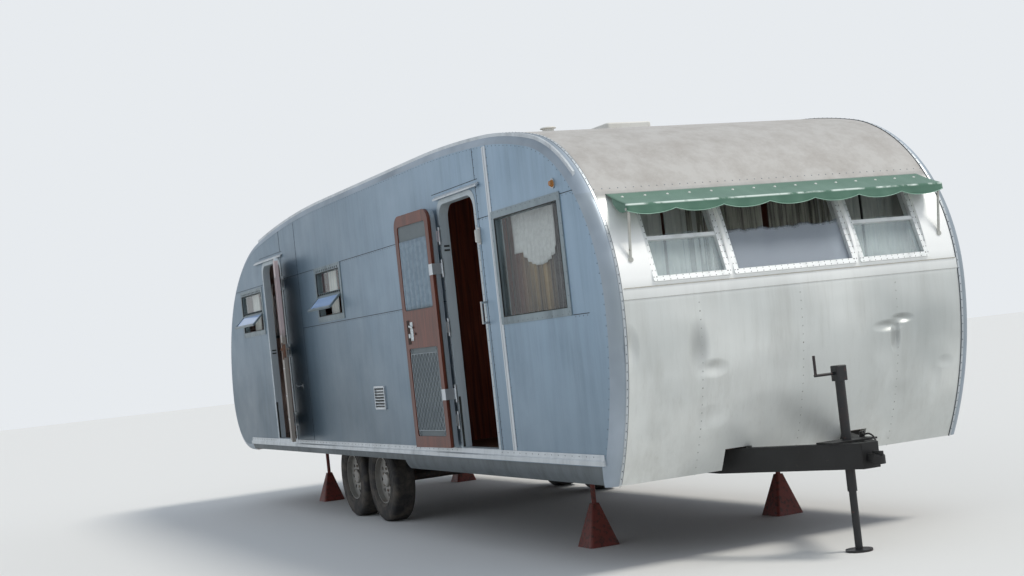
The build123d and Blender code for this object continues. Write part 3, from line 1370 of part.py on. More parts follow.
# Curtains behind the windows, each hung from a rod above its window
curtains = BuildPart()
curtain_rods = BuildPart()
for face, centre, sill, width, height in side_windows:
    low = z(sill) - CURTAIN_FALL
    high = z(sill) + height + CURTAIN_RISE
    depth = CURTAIN_BACK + WALL
    with curtains:
        with BuildSketch(wall_plane(face, depth + CURTAIN_FOLD / 2)):
            with Locations((x(centre), (low + high) / 2)):
                Rectangle(width, high - low)
        extrude(amount=-face * CURTAIN_FOLD)
    with curtain_rods:
        with BuildSketch(Plane.YZ.offset(x(centre) - width / 2 - ROD_END)):
            with Locations((face * (half - depth), high + CURTAIN_ROD + CURVE_GAP)):
                Circle(CURTAIN_ROD)
        extrude(amount=width + 2 * ROD_END)
        for end in (-(width + ROD_END) / 2, (width + ROD_END) / 2):
            with BuildSketch(wall_plane(face, WALL)):
                with Locations((x(centre) + end, high + CURTAIN_ROD + CURVE_GAP)):
                    Rectangle(2 * CURTAIN_ROD, 2 * CURTAIN_ROD)
            extrude(amount=face * (CURTAIN_BACK + CURTAIN_ROD))
front_rod = FRONT_WINDOW_HEAD + FRONT_ROD_RISE
rod_top = 2 * CURTAIN_ROD + CURVE_GAP
front_curtain = front_skin_x(front_rod + rod_top, WALL) - FRONT_CURTAIN_BACK
rear_curtain = rear_skin_x(REAR_WINDOW_HEAD + rod_top, WALL) + REAR_CURTAIN_BACK
for place, table, sill, rod_height in (
    (front_curtain, FRONT_WINDOWS, FRONT_WINDOW_SILL, front_rod),
    (rear_curtain, REAR_WINDOWS, REAR_WINDOW_SILL, REAR_WINDOW_HEAD),
):
    low = z(sill) - CURTAIN_FALL
    high = z(rod_height)
    for across, width in table:
        with curtains:
            with BuildSketch(Plane.YZ.offset(place - CURTAIN_FOLD / 2)):
                with Locations((across, (low + high) / 2)):
                    Rectangle(width - CURTAIN_FOLD, high - low)
            extrude(amount=CURTAIN_FOLD)
    with curtain_rods:
        with BuildSketch(side_plane):
            with Locations((place, high + CURTAIN_ROD + CURVE_GAP)):
                Circle(CURTAIN_ROD)
        extrude(amount=inner, both=True)
curtains.part.label = "curtains"
export_step(curtains.part, "parts/curtains.step")
curtain_rods.part.label = "curtain_rods"
export_step(curtain_rods.part, "parts/curtain_rods.step")

# Lamps: amber markers on both sides in front, red lamps behind, a white one by the front door
tail_x = rear_skin_x(TAIL_LAMP_HEIGHT)
with BuildPart() as wall_fittings:
    for face in (-1, 1):
        with BuildSketch(wall_plane(face)):
            with Locations((x(MARKER_PLACE), z(MARKER_HEIGHT))):
                Circle(MARKER_BASE)
        extrude(amount=-face * MARKER_PLATE)
        with BuildSketch(Plane.YZ.offset(tail_x + TAIL_LAMP_RADIUS)):
            with Locations((face * TAIL_LAMP_SPREAD, z(TAIL_LAMP_HEIGHT))):
                Circle(TAIL_LAMP_RADIUS)
        extrude(amount=-TAIL_LAMP_RADIUS - TAIL_LAMP_PROUD)
    with BuildSketch(door_side_plane):
        with Locations((x(PORCH_PLACE), z(PORCH_HEIGHT))):
            RectangleRounded(PORCH_WIDTH, PORCH_LENGTH, PORCH_WIDTH / 3)
    extrude(amount=MARKER_PLATE)
    # Grab handle beside the front door, and the holder that catches the rear door
    for end in (-1, 1):
        with BuildSketch(door_side_plane):
            with Locations((x(PORCH_PLACE), z(GRIP_HEIGHT) + end * GRIP_LENGTH / 2)):
                Circle(GRIP_RADIUS)
        extrude(amount=GRIP_PROUD)
    with BuildSketch(Plane.XY.offset(z(GRIP_HEIGHT) - GRIP_LENGTH / 2 - GRIP_RADIUS)):
        with Locations((x(PORCH_PLACE), -half - GRIP_PROUD)):
            Circle(GRIP_RADIUS)
    extrude(amount=GRIP_LENGTH + 2 * GRIP_RADIUS)
    with BuildSketch(door_side_plane):
        with Locations((x(HOLDER_PLACE), z(HOLDER_HEIGHT))):
            RectangleRounded(HOLDER_PLATE, HOLDER_PLATE, GRIP_RADIUS)
    extrude(amount=MARKER_PLATE)
    with BuildSketch(door_side_plane):
        with Locations((x(HOLDER_PLACE), z(HOLDER_HEIGHT))):
            Circle(GRIP_RADIUS)
    extrude(amount=HOLDER_PROUD)
    with BuildSketch(wall_plane(-1, -HOLDER_PROUD + GRIP_RADIUS)):
        with Locations((x(HOLDER_PLACE), z(HOLDER_HEIGHT))):
            RectangleRounded(HOLDER_PLATE / 2, HOLDER_PLATE, GRIP_RADIUS)
    extrude(amount=GRIP_RADIUS)
    add(cabin_block.part, mode=Mode.SUBTRACT)
wall_fittings.part.label = "wall_fittings"
export_step(wall_fittings.part, "parts/wall_fittings.step")

with BuildPart() as marker_lamps:
    for face in (-1, 1):
        with BuildSketch(wall_plane(face, -MARKER_PLATE)):
            with Locations((x(MARKER_PLACE), z(MARKER_HEIGHT))):
                Circle(MARKER_BASE - MARKER_PLATE)
        extrude(amount=-face * (MARKER_PROUD - MARKER_PLATE), taper=25)
marker_lamps.part.label = "marker_lamps"
export_step(marker_lamps.part, "parts/marker_lamps.step")

with BuildPart() as tail_lamps:
    for face in (-1, 1):
        with BuildSketch(Plane.YZ.offset(tail_x - TAIL_LAMP_PROUD)):
            with Locations((face * TAIL_LAMP_SPREAD, z(TAIL_LAMP_HEIGHT))):
                Circle(TAIL_LAMP_RADIUS - MARKER_PLATE)
        extrude(amount=-MARKER_PLATE * 2, taper=25)
tail_lamps.part.label = "tail_lamps"
export_step(tail_lamps.part, "parts/tail_lamps.step")

with BuildPart() as porch_light:
    with BuildSketch(wall_plane(-1, -MARKER_PLATE)):
        with Locations((x(PORCH_PLACE), z(PORCH_HEIGHT))):
            RectangleRounded(PORCH_WIDTH - MARKER_PLATE, PORCH_LENGTH - 3 * MARKER_PLATE, PORCH_WIDTH / 3)
    extrude(amount=PORCH_PROUD - MARKER_PLATE, taper=8)
    fillet(porch_light.faces().sort_by(Axis.Y)[0].edges(), PORCH_WIDTH / 6)
porch_light.part.label = "porch_light"
export_step(porch_light.part, "parts/porch_light.step")

# Louvred vent low in the side wall
with BuildPart() as wall_vent:
    with BuildSketch(door_side_plane):
        with Locations((x(VENT_PLACE), z(VENT_HEIGHT))):
            RectangleRounded(VENT_WIDTH, VENT_RISE, VENT_RIM)
    extrude(amount=VENT_PROUD)
    with BuildSketch(wall_plane(-1, -VENT_PROUD / 3)):
        with Locations((x(VENT_PLACE), z(VENT_HEIGHT))):
            Rectangle(VENT_WIDTH - 2 * VENT_RIM, VENT_RISE - 2 * VENT_RIM)
    extrude(amount=VENT_PROUD, mode=Mode.SUBTRACT)
    pitch = (VENT_RISE - 2 * VENT_RIM) / VENT_SLATS
    with BuildSketch(Plane.YZ.offset(x(VENT_PLACE) - VENT_WIDTH / 2 + VENT_RIM)):
        for slat in range(VENT_SLATS):
            top = z(VENT_HEIGHT) + VENT_RISE / 2 - VENT_RIM - slat * pitch
            with BuildLine():
                Polyline(
                    (-half - VENT_PROUD / 3, top),
                    (-half - VENT_PROUD, top - pitch / 2),
                    (-half - VENT_PROUD, top - pitch / 2 - SCREEN_SHEET / 2),
                    (-half - VENT_PROUD / 3, top - SCREEN_SHEET / 2),
                    close=True,
                )
            make_face()
    extrude(amount=VENT_WIDTH - 2 * VENT_RIM)
wall_vent.part.label = "wall_vent"
export_step(wall_vent.part, "parts/wall_vent.step")

# Roof vent and flue
with BuildPart() as roof_fittings:
    with BuildSketch(Plane.XY.offset(z(ROOF_HEIGHT) - COVE_RADIUS)):
        with Locations((x(ROOF_VENT_PLACE), ROOF_VENT_ACROSS)):
            RectangleRounded(ROOF_VENT_SIZE, ROOF_VENT_SIZE, ROOF_VENT_ROUND)
    extrude(amount=ROOF_VENT_RISE + COVE_RADIUS)
    fillet(roof_fittings.faces().sort_by(Axis.Z)[-1].edges(), ROOF_VENT_ROUND / 2)
    with BuildSketch(Plane.XY.offset(z(ROOF_HEIGHT) - COVE_RADIUS)):
        with Locations((x(FLUE_PLACE), FLUE_ACROSS)):
            Circle(FLUE_RADIUS)
    extrude(amount=FLUE_RISE + COVE_RADIUS)
    with BuildSketch(Plane.XY.offset(z(ROOF_HEIGHT + FLUE_RISE))):
        with Locations((x(FLUE_PLACE), FLUE_ACROSS)):
            Circle(FLUE_CAP)
    extrude(amount=MARKER_PLATE, taper=30)
    add(cabin_block.part, mode=Mode.SUBTRACT)
roof_fittings.part.label = "roof_fittings"
export_step(roof_fittings.part, "parts/roof_fittings.step")
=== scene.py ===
# %% [markdown]
# # Travel caravan
# A long riveted aluminium caravan of about 1950, dressed for a photograph. The CAD model gives every
# rigid shape and its place, in metres: +X runs forward to the hitch, +Y to the left, +Z up, and the
# origin is the centre of the hitch ball. This lesson adds what makes the shapes look real: seams,
# rivets, cloth, weathered metal, wood, glass and rubber.

# %% Load the frame
import math
import random

import bmesh
import bpy
from mathutils import Matrix, Vector


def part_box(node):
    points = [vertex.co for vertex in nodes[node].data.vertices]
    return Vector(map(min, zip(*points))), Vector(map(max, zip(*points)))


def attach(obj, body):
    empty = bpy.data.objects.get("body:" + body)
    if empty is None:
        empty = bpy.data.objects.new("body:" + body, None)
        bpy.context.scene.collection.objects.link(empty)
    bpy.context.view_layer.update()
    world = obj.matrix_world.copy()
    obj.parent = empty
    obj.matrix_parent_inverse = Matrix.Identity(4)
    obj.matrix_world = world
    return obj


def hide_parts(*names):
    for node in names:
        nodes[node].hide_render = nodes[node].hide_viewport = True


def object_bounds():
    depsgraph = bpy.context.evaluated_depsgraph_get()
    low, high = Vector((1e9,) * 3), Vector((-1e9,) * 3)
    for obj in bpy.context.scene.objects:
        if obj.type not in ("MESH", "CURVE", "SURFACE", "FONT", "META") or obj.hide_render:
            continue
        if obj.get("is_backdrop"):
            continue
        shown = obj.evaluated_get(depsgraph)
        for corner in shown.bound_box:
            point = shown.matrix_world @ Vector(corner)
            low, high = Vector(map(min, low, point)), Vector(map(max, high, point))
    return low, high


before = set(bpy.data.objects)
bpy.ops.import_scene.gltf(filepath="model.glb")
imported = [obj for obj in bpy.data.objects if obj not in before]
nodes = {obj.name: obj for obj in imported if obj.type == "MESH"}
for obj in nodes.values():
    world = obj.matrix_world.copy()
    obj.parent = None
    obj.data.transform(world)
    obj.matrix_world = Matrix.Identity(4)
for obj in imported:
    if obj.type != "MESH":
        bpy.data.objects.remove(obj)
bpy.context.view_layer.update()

# %% [markdown]
# ## Camera
# The picture was taken with a longish lens from low down, off the front right corner. Three of the
# caravan's own directions were read from its straight edges, and they turn the camera: the way that
# the picture's right side, its upper side and the eye itself point.

# %% Camera
CAMERA_PLACE = Vector((6.72, -5.04, 0.84))
CAMERA_RIGHT = Vector((0.4033, 0.9088, -0.1075))
CAMERA_AHEAD = Vector((-0.9119, 0.4087, 0.0358))
FOCAL_PIXELS = 1526
PICTURE_WIDTH = 1024

camera_data = bpy.data.cameras.new("camera")
camera_data.sensor_width = 36
camera_data.lens = FOCAL_PIXELS * camera_data.sensor_width / PICTURE_WIDTH
camera_data.clip_end = 100
camera = bpy.data.objects.new("camera", camera_data)
bpy.context.scene.collection.objects.link(camera)
back = -CAMERA_AHEAD.normalized()
up = back.cross(CAMERA_RIGHT).normalized()
right = up.cross(back)
turn = Matrix((right, up, back)).transposed().to_4x4()
camera.matrix_world = Matrix.Translation(CAMERA_PLACE) @ turn
bpy.context.scene.camera = camera
print("lens", round(camera_data.lens, 1), "mm")

# %% [markdown]
# ## Floor and light
# The floor and the backdrop are plain and pale. One wide, soft lamp stands high in front on the left,
# where the sun was, and the sky light from all around keeps the shaded door side readable. What the
# camera, the glass and the metal see of the world is the pale backdrop.

# %% Floor
GROUND = -0.5
FLOOR_REACH = 60

floor_mesh = bpy.data.meshes.new("studio_floor")
sheet = bmesh.new()
bmesh.ops.create_grid(sheet, x_segments=1, y_segments=1, size=FLOOR_REACH)
bmesh.ops.translate(sheet, verts=sheet.verts, vec=(0, 0, GROUND))
sheet.to_mesh(floor_mesh)
sheet.free()
studio_floor = bpy.data.objects.new("studio_floor", floor_mesh)
bpy.context.scene.collection.objects.link(studio_floor)
studio_floor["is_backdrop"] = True
floor_finish = bpy.data.materials.new("studio_floor")
floor_finish.use_nodes = True
floor_shader = floor_finish.node_tree.nodes["Principled BSDF"]
floor_shader.inputs["Base Color"].default_value = (0.74, 0.73, 0.70, 1)
floor_shader.inputs["Roughness"].default_value = 0.9
floor_mesh.materials.append(floor_finish)
print("floor at", GROUND)

# %% Light
SUN_FROM = Vector((0.50, 0.62, 1.15))
SUN_STRENGTH = 1.85
SKY_COLOUR = (0.72, 0.80, 0.92, 1)
SKY_STRENGTH = 0.72
BACKDROP = (0.80, 0.83, 0.86, 1)

sun_data = bpy.data.lights.new("sun", "SUN")
sun_data.energy = SUN_STRENGTH
sun_data.angle = math.radians(16)
sun_data.color = (1.0, 0.965, 0.90)
sun = bpy.data.objects.new("sun", sun_data)
sun.rotation_euler = SUN_FROM.to_track_quat("Z", "Y").to_euler()
bpy.context.scene.collection.objects.link(sun)

world = bpy.data.worlds.new("sky")
bpy.context.scene.world = world
world.use_nodes = True
world_tree = world.node_tree
sky = world_tree.nodes["Background"]
sky.inputs["Color"].default_value = SKY_COLOUR
sky.inputs["Strength"].default_value = SKY_STRENGTH
backdrop = world_tree.nodes.new("ShaderNodeBackground")
backdrop.inputs["Color"].default_value = BACKDROP
ray_kind = world_tree.nodes.new("ShaderNodeLightPath")
seen = ray_kind.outputs["Is Camera Ray"]
for other in ("Is Glossy Ray", "Is Transmission Ray"):
    either = world_tree.nodes.new("ShaderNodeMath")
    either.operation = "MAXIMUM"
    world_tree.links.new(seen, either.inputs[0])
    world_tree.links.new(ray_kind.outputs[other], either.inputs[1])
    seen = either.outputs[0]
choose = world_tree.nodes.new("ShaderNodeMixShader")
world_tree.links.new(seen, choose.inputs[0])
world_tree.links.new(sky.outputs[0], choose.inputs[1])
world_tree.links.new(backdrop.outputs[0], choose.inputs[2])
world_tree.links.new(choose.outputs[0], world_tree.nodes["World Output"].inputs["Surface"])
bpy.context.scene.view_settings.view_transform = "Standard"
print("sun", SUN_STRENGTH, "sky", SKY_STRENGTH)

# %% [markdown]
# ## Helpers for finishes
# Every finish here is a small graph on one main shader. The helper keeps the graph short to write:
# it starts the material, hands out the object's coordinates and adds noise, ramps, mixes and bumps.


# %% Finish helper
class Finish:
    """One material, with short ways to add the patterns that old surfaces have."""

    def __init__(self, name, colour, rough, metal=0.0):
        self.material = bpy.data.materials.new(name)
        self.material.use_nodes = True
        self.tree = self.material.node_tree
        self.shader = self.tree.nodes["Principled BSDF"]
        self.place = self.node("TexCoord").outputs["Object"]
        self.facing = self.place.node.outputs["Normal"]
        self.set("Base Color", (*colour, 1))
        self.set("Roughness", rough)
        self.set("Metallic", metal)

    def node(self, kind, inputs=None, **settings):
        """Add a node. The settings are its own, and inputs says what goes into its sockets."""
        made = self.tree.nodes.new("ShaderNode" + kind)
        for key, value in settings.items():
            setattr(made, key, value)
        for key, value in (inputs or {}).items():
            self.wire(made.inputs[key], value)
        return made

    def wire(self, socket, value):
        if isinstance(value, bpy.types.NodeSocket):
            self.tree.links.new(value, socket)
        elif hasattr(value, "__len__") and len(value) == 3 and socket.type == "RGBA":
            socket.default_value = (*value, 1)
        else:
            socket.default_value = value

    def set(self, name, value):
        self.wire(self.shader.inputs[name], value)
        return self

    def colour(self):
        """The colour that the surface has so far, to mix more into."""
        return self.shader.inputs["Base Color"].links[0].from_socket

    def paint(self, share, first, second):
        """Colour the surface with a mix of two colours."""
        return self.set("Base Color", self.mix(share, first, second))

    def stretched(self, scale, shift=(0, 0, 0)):
        """The object's coordinates, scaled and shifted before a pattern reads them."""
        return self.node("Mapping", {"Vector": self.place, "Scale": scale, "Location": shift}).outputs["Vector"]

    def noise(self, scale, detail=3.0, rough=0.5, along=None, warp=0.0):
        """Cloudy values, read along the object's own coordinates or others."""
        pattern = {"Scale": scale, "Detail": detail, "Roughness": rough, "Distortion": warp}
        pattern["Vector"] = self.place if along is None else along
        return self.node("TexNoise", pattern).outputs["Fac"]

    def ramp(self, value, low, high, start=0.0, end=1.0, **settings):
        """Turn values from low to high into values from start to end."""
        limits = {"From Min": low, "From Max": high, "To Min": start, "To Max": end}
        return self.node("MapRange", {"Value": value, **limits}, **settings).outputs["Result"]

    def mix(self, share, first, second):
        inputs = {"Factor": share, 6: first, 7: second}
        return self.node("Mix", inputs, data_type="RGBA", blend_type="MIX").outputs[2]

    def sum(self, kind, first, second=0.5):
        return self.node("Math", {0: first, 1: second}, operation=kind).outputs[0]

    def part(self, axis):
        """One of the object's coordinates."""
        return self.node("SeparateXYZ", {0: self.place}).outputs["XYZ".index(axis)]

    def near(self, spot, reach, squeeze=(1, 1, 1)):
        """1 at a spot, falling smoothly to 0 at its reach, which is shorter along a squeezed way."""
        squeezed = [at * by for at, by in zip(spot, squeeze)]
        away = self.node("VectorMath", {0: self.stretched(squeeze), 1: squeezed}, operation="DISTANCE")
        return self.ramp(away.outputs["Value"], 0, reach, 1, 0, interpolation_type="SMOOTHSTEP")

    def facing_way(self, way, least=0.5):
        """1 where the surface faces one way, else 0."""
        made = self.node("VectorMath", {0: self.facing, 1: way}, operation="DOT_PRODUCT")
        return self.sum("GREATER_THAN", made.outputs["Value"], least)

    def bump(self, height, depth, strength=1.0):
        made = self.node("Bump", {"Strength": strength, "Distance": depth, "Height": height})
        return self.set("Normal", made.outputs["Normal"])

    def on(self, *names):
        for name in names:
            mesh = nodes[name].data if isinstance(name, str) else name.data
            if not mesh.materials:
                mesh.materials.append(self.material)
            for slot in range(len(mesh.materials)):
                mesh.materials[slot] = self.material
        return self


print("finish helper ready")

# %% [markdown]
# ## Weathered skin
# The skin is bare aluminium that has gone dull and grey. Rain leaves upright streaks under every
# ledge, so the streaks are noise squeezed along the ground and drawn out in height. Broad, shallow
# waves stand for sheet metal that lies a little loose between its rivets.


# %% Paint values
def tone(red, green, blue):
    """Turn a colour, given from 0 to 255, into the light values that shaders use."""
    return tuple(((v / 255 + 0.055) / 1.055) ** 2.4 if v > 10 else v / 3294.6 for v in (red, green, blue))


def weathered(name, clean, stained, rough, metal, wave=0.0012):
    """Dull sheet metal with rain streaks, blotches and loose waves."""
    made = Finish(name, clean, rough, metal)
    streaks = made.noise(1.0, 6, 0.65, made.stretched((9, 9, 0.7)))
    fine = made.noise(1.0, 4, 0.6, made.stretched((46, 46, 1.6), (3.1, 1.7, 0.2)))
    blotch = made.noise(1.7, 5, 0.6)
    share = made.sum("MULTIPLY", made.ramp(streaks, 0.40, 0.72), made.ramp(blotch, 0.30, 0.75))
    share = made.sum("ADD", share, made.ramp(fine, 0.56, 0.80, 0.0, 0.28))
    made.grey = made.mix(share, clean, stained)
    made.set("Base Color", made.grey)
    made.set("Roughness", made.ramp(blotch, 0.3, 0.7, rough - 0.07, rough + 0.09))
    made.loose = made.noise(1.0, 1.5, 0.4, made.stretched((1.6, 1.6, 3.2)))
    made.bump(made.loose, wave * 14, 0.55)
    return made


INSIDE_OF_WALL = 1.2185
skin = weathered("skin", tone(145, 168, 187), tone(116, 137, 152), 0.42, 0.42)
# Painted shade: the outside of the skin is mixed towards a darker tone low down and towards the back, on both
# sides.
low_down = skin.ramp(skin.part("Z"), 1.35, 0.15, 0.0, 0.55)
far_back = skin.ramp(skin.part("X"), -2.3, -5.2, 0.0, 0.60)
shade = skin.sum("MINIMUM", skin.sum("ADD", low_down, far_back), 1.0)
outside = skin.mix(shade, skin.grey, skin.mix(0.70, skin.grey, tone(74, 86, 92)))
road_side = skin.mix(shade, tone(156, 160, 162), tone(126, 130, 132))
outside = skin.mix(skin.ramp(skin.part("Y"), 0.0, 0.1, 0.0, 0.55), outside, road_side)
inside = skin.sum("LESS_THAN", skin.sum("ABSOLUTE", skin.part("Y")), INSIDE_OF_WALL)
lining = skin.mix(skin.noise(2.0), tone(128, 74, 54), tone(96, 50, 38))
back_room = skin.mix(skin.ramp(skin.part("Z"), 1.15, 1.25), tone(150, 138, 128), tone(214, 190, 188))
lining = skin.mix(skin.ramp(skin.part("X"), -6.70, -6.75), lining, back_room)
skin.paint(inside, outside, lining)
skin.set("Metallic", skin.ramp(inside, 0, 1, 0.42, 0.0))
skin.on("wall_door_side", "wall_road_side")
print("wall skin ready")

# %% [markdown]
# The rounded part is one wrap of sheets. Its rolled side edges are brighter, its roof has gone warm
# and chalky down to the front canopy, and its inside shows the room's lining. Position and facing
# pick each, so the CAD shapes need no extra pieces. The front is dented by its corners and between
# the ribs: each dent is a spot with a reach, squeezed one way so that it looks like a crease.


# %% Rounded part
EDGE_TONES = (tone(168, 179, 190), tone(132, 143, 153))
LINING = tone(190, 170, 164)
ROLLED_FROM = 1.1555
ROOF_TONES = (tone(184, 181, 176), tone(166, 161, 155))
DENTS = (
    ((-0.55, 0.60, 0.705), 0.13, (1, 1, 3.2)), ((-0.55, 0.65, 0.635), 0.11, (1, 2.6, 1)),
    ((-0.55, 0.70, 0.74), 0.10, (1, 1, 2.8)), ((-0.55, -0.691, 0.70), 0.19, (1, 2.4, 1)),
    ((-0.55, -0.60, 0.58), 0.12, (1, 1, 2.0)), ((-0.55, -1.12, 0.74), 0.14, (1, 2.2, 1)),
    ((-0.56, -0.60, 0.30), 0.16, (1, 1, 1.6)), ((-0.56, 0.95, 0.34), 0.14, (1, 1.8, 1)),
    ((-0.55, 1.02, 0.45), 0.10, (1, 1, 1.7)),
)


def wrap_sheet(name, clean, stained, rough, metal, inward):
    """A sheet of the rounded part, whose inner side faces the inward way."""
    made = weathered(name, clean, stained, rough, metal)
    edge = made.sum("GREATER_THAN", made.sum("ABSOLUTE", made.part("Y")), ROLLED_FROM)
    rolled = made.mix(made.ramp(made.noise(1.0, 4, 0.6, made.stretched((1.2, 1.2, 1.2))), 0.35, 0.7),
                      *EDGE_TONES)
    chalk = made.mix(made.ramp(made.noise(5.5, 8, 0.75), 0.40, 0.66), *ROOF_TONES)
    over = made.sum("MULTIPLY", made.ramp(made.part("Z"), 1.565, 1.60), made.ramp(made.part("X"), -8.6, -8.5))
    colour = made.mix(edge, made.mix(over, made.grey, chalk), rolled)
    inner = made.facing_way(inward, 0.12)
    made.paint(inner, colour, LINING)
    dull = made.mix(edge, made.mix(over, (metal,) * 3, (0.08,) * 3), (0.55,) * 3)
    made.set("Metallic", made.mix(inner, dull, (0, 0, 0)))
    made.set("Roughness", made.ramp(made.sum("MAXIMUM", over, inner), 0, 1, rough, 0.65))
    return made


nose = wrap_sheet("nose_skin", tone(226, 228, 224), tone(196, 196, 190), 0.44, 0.38, (-1, 0, 0))
polish = nose.ramp(nose.noise(1.5, 2, 0.45, nose.stretched((1, 1, 1.3), (0.3, 0.9, 0.1))), 0.42, 0.60)
right_corner = nose.sum("MULTIPLY", nose.near((-0.55, -0.90, 0.70), 0.42), 0.7)
duller = nose.sum("MULTIPLY", nose.sum("ADD", nose.near((-0.55, 0.82, 0.70), 0.55), right_corner), 0.36)
duller = nose.sum("MINIMUM", nose.sum("ADD", duller, nose.sum("MULTIPLY", polish, 0.24)), 0.6)
front_tone = nose.mix(duller, nose.colour(), tone(142, 149, 148))
nose.paint(nose.facing_way((-1, 0, 0), 0.12), front_tone, nose.colour())
# Painted sunlight: the flat front from just under the windows up to the canopy is painted nearly white.
sunlit = nose.sum("MULTIPLY", nose.ramp(nose.part("Z"), 0.98, 1.12), nose.ramp(nose.part("Z"), 1.58, 1.55))
painted_sunlight = nose.mix(nose.sum("MULTIPLY", sunlit, 0.95), nose.colour(), tone(255, 255, 252))
flat_part = nose.sum("LESS_THAN", nose.sum("ABSOLUTE", nose.part("Y")), ROLLED_FROM)
nose.paint(flat_part, nose.colour(), painted_sunlight)
dented = nose.loose
for spot, reach, squeeze in DENTS:
    dented = nose.sum("SUBTRACT", dented, nose.near(spot, reach, squeeze))
nose.bump(nose.sum("MULTIPLY", dented, 0.7), 0.040, 0.9)
# Painted shade: two of the dents are darkened towards their middles.
painted_dent_shade = nose.sum("MULTIPLY", nose.sum("ADD", nose.near(*DENTS[1]), nose.near(*DENTS[3])), 0.40)
nose.paint(painted_dent_shade, nose.colour(), tone(96, 98, 98))
nose.on("front_panel")
wrap_sheet("tail_skin", tone(176, 182, 186), tone(140, 144, 146), 0.44, 0.42, (1, 0, 0)).on("rear_panel")
wrap_sheet("roof_skin", ROOF_TONES[0], ROOF_TONES[1], 0.62, 0.08, (0, 0, -1)).on("roof_panel")
print(len(DENTS), "dents in the front")

# %% [markdown]
# Door leaves are skinned outside and lined inside. The lining is picked by the way each leaf's inner
# side faces when it stands open, and on the rear leaf its free edge too, so it stays there when the
# leaf turns.

# %% Doors, frames and trim
SILL = 0.175
OPEN_LEAVES = {"front_door": (-2.875, 1, 177), "screen_door": (-2.875, 1, 177), "rear_door": (-6.955, -1, 166)}


def leaf_axes(body):
    """Where a leaf's hinge is, and which way its width and its inner side point."""
    hinge, run, opened = OPEN_LEAVES[body]
    turned = Matrix.Rotation(-run * math.radians(opened), 3, "Z")
    return Vector((hinge, -1.235, SILL)), turned @ Vector((run, 0, 0)), turned @ Vector((0, 1, 0))


for leaf in ("front_door", "rear_door"):
    door_skin = weathered(leaf + "_skin", tone(172, 184, 192), tone(138, 148, 154), 0.40, 0.45)
    panel = door_skin.mix(door_skin.ramp(door_skin.part("Z"), 1.10, 1.18), tone(128, 120, 112),
                          tone(176, 158, 158))
    _, way, inward = leaf_axes(leaf)
    lined = door_skin.facing_way(inward if leaf == "front_door" else (inward + way).normalized(), 0.5)
    door_skin.paint(lined, door_skin.grey, panel)
    door_skin.set("Metallic", door_skin.ramp(lined, 0, 1, 0.45, 0.0))
    door_skin.on(leaf)
trim = weathered("trim", tone(196, 202, 206), tone(140, 146, 150), 0.36, 0.6, 0.0003)
trim.on("side_trims", "hinge_plates", "screen_hinges", "wall_vent", "edge_beads", "gutter")
jamb = weathered("jamb", tone(184, 194, 198), tone(138, 150, 156), 0.45, 0.15, 0.0003)
jamb.on("door_frames")
frame_metal = weathered("frame_metal", tone(132, 146, 152), tone(70, 80, 82), 0.42, 0.4, 0.0003)
in_front = frame_metal.ramp(frame_metal.part("X"), -0.96, -0.95)
white = frame_metal.mix(frame_metal.ramp(frame_metal.noise(14.0, 4, 0.6), 0.50, 0.75), tone(232, 234, 233),
                        tone(206, 209, 208))
frame_metal.paint(in_front, frame_metal.grey, white)
frame_metal.on("window_frames")
skirt_metal = weathered("skirt_metal", tone(110, 117, 120), tone(64, 66, 66), 0.55, 0.45)
skirt_metal.on("skirts")
print("skin finishes ready")

# %% [markdown]
# ## Wood, paint, glass and rubber
# The screen door is varnished softwood: long pores run up the stiles. The drawbar and frame wear
# thick black paint, and the four stands and the gear head of the jack have rusted through theirs.


# %% Wood finish
def varnished(name, light, dark, rough=0.46, along="Z"):
    """Varnished wood whose grain runs along one axis."""
    made = Finish(name, light, rough)
    scale = [34.0, 34.0, 34.0]
    scale["XYZ".index(along)] = 1.6
    grain = made.noise(1.0, 5, 0.62, made.stretched(scale), 1.2)
    pores = made.noise(4.0, 3, 0.5, made.stretched([v * 3 for v in scale]))
    share = made.sum("ADD", made.ramp(grain, 0.35, 0.68), made.ramp(pores, 0.62, 0.80, 0.0, 0.3))
    made.paint(share, light, dark)
    made.set("Coat Weight", 0.15)
    made.set("Coat Roughness", 0.25)
    made.bump(pores, 0.0006, 0.4)
    return made


varnished("screen_wood", tone(112, 56, 38), tone(74, 36, 26)).on("screen_frame")
varnished("cabin_wood", tone(164, 84, 58), tone(100, 46, 32)).on("partitions")
varnished("cabin_floor", tone(96, 74, 56), tone(52, 38, 28), 0.5, "X").on("floor")
print("wood ready")


# %% Painted metal finishes
def painted(name, colour, chipped, rough, amount=0.62, metal=0.0):
    """Old paint that has chipped and gone dusty in patches."""
    made = Finish(name, colour, rough, metal)
    chips = made.noise(38.0, 5, 0.7)
    dust = made.noise(5.0, 4, 0.6)
    share = made.sum("ADD", made.ramp(chips, amount, amount + 0.12), made.ramp(dust, 0.45, 0.8, 0.0, 0.35))
    made.paint(share, colour, chipped)
    made.set("Roughness", made.ramp(dust, 0.3, 0.7, rough - 0.1, rough + 0.15))
    made.bump(chips, 0.0008, 0.35)
    return made


painted("frame_paint", tone(11, 12, 13), tone(42, 37, 32), 0.55).on("tongue_frame", "chassis_frame", "coupler")
painted("running_gear", tone(40, 38, 36), tone(88, 66, 50), 0.6, 0.55).on("axles", "leaf_springs")
painted("jack_paint", tone(20, 22, 25), tone(84, 44, 36), 0.42, 0.60).on("tongue_jack")
painted("stand_paint", tone(112, 44, 34), tone(66, 34, 24), 0.55, 0.50).on("jack_stands")
painted("vent_paint", tone(226, 224, 216), tone(168, 160, 146), 0.5).on("roof_fittings")
rod_metal = painted("rod_metal", tone(188, 188, 182), tone(120, 112, 100), 0.38, 0.6, 0.7)
rod_metal.on("canopy_frame", "curtain_rods")
painted("fitting_metal", tone(176, 178, 178), tone(120, 116, 108), 0.3, 0.66, 0.85).on("wall_fittings")
print("paint ready")


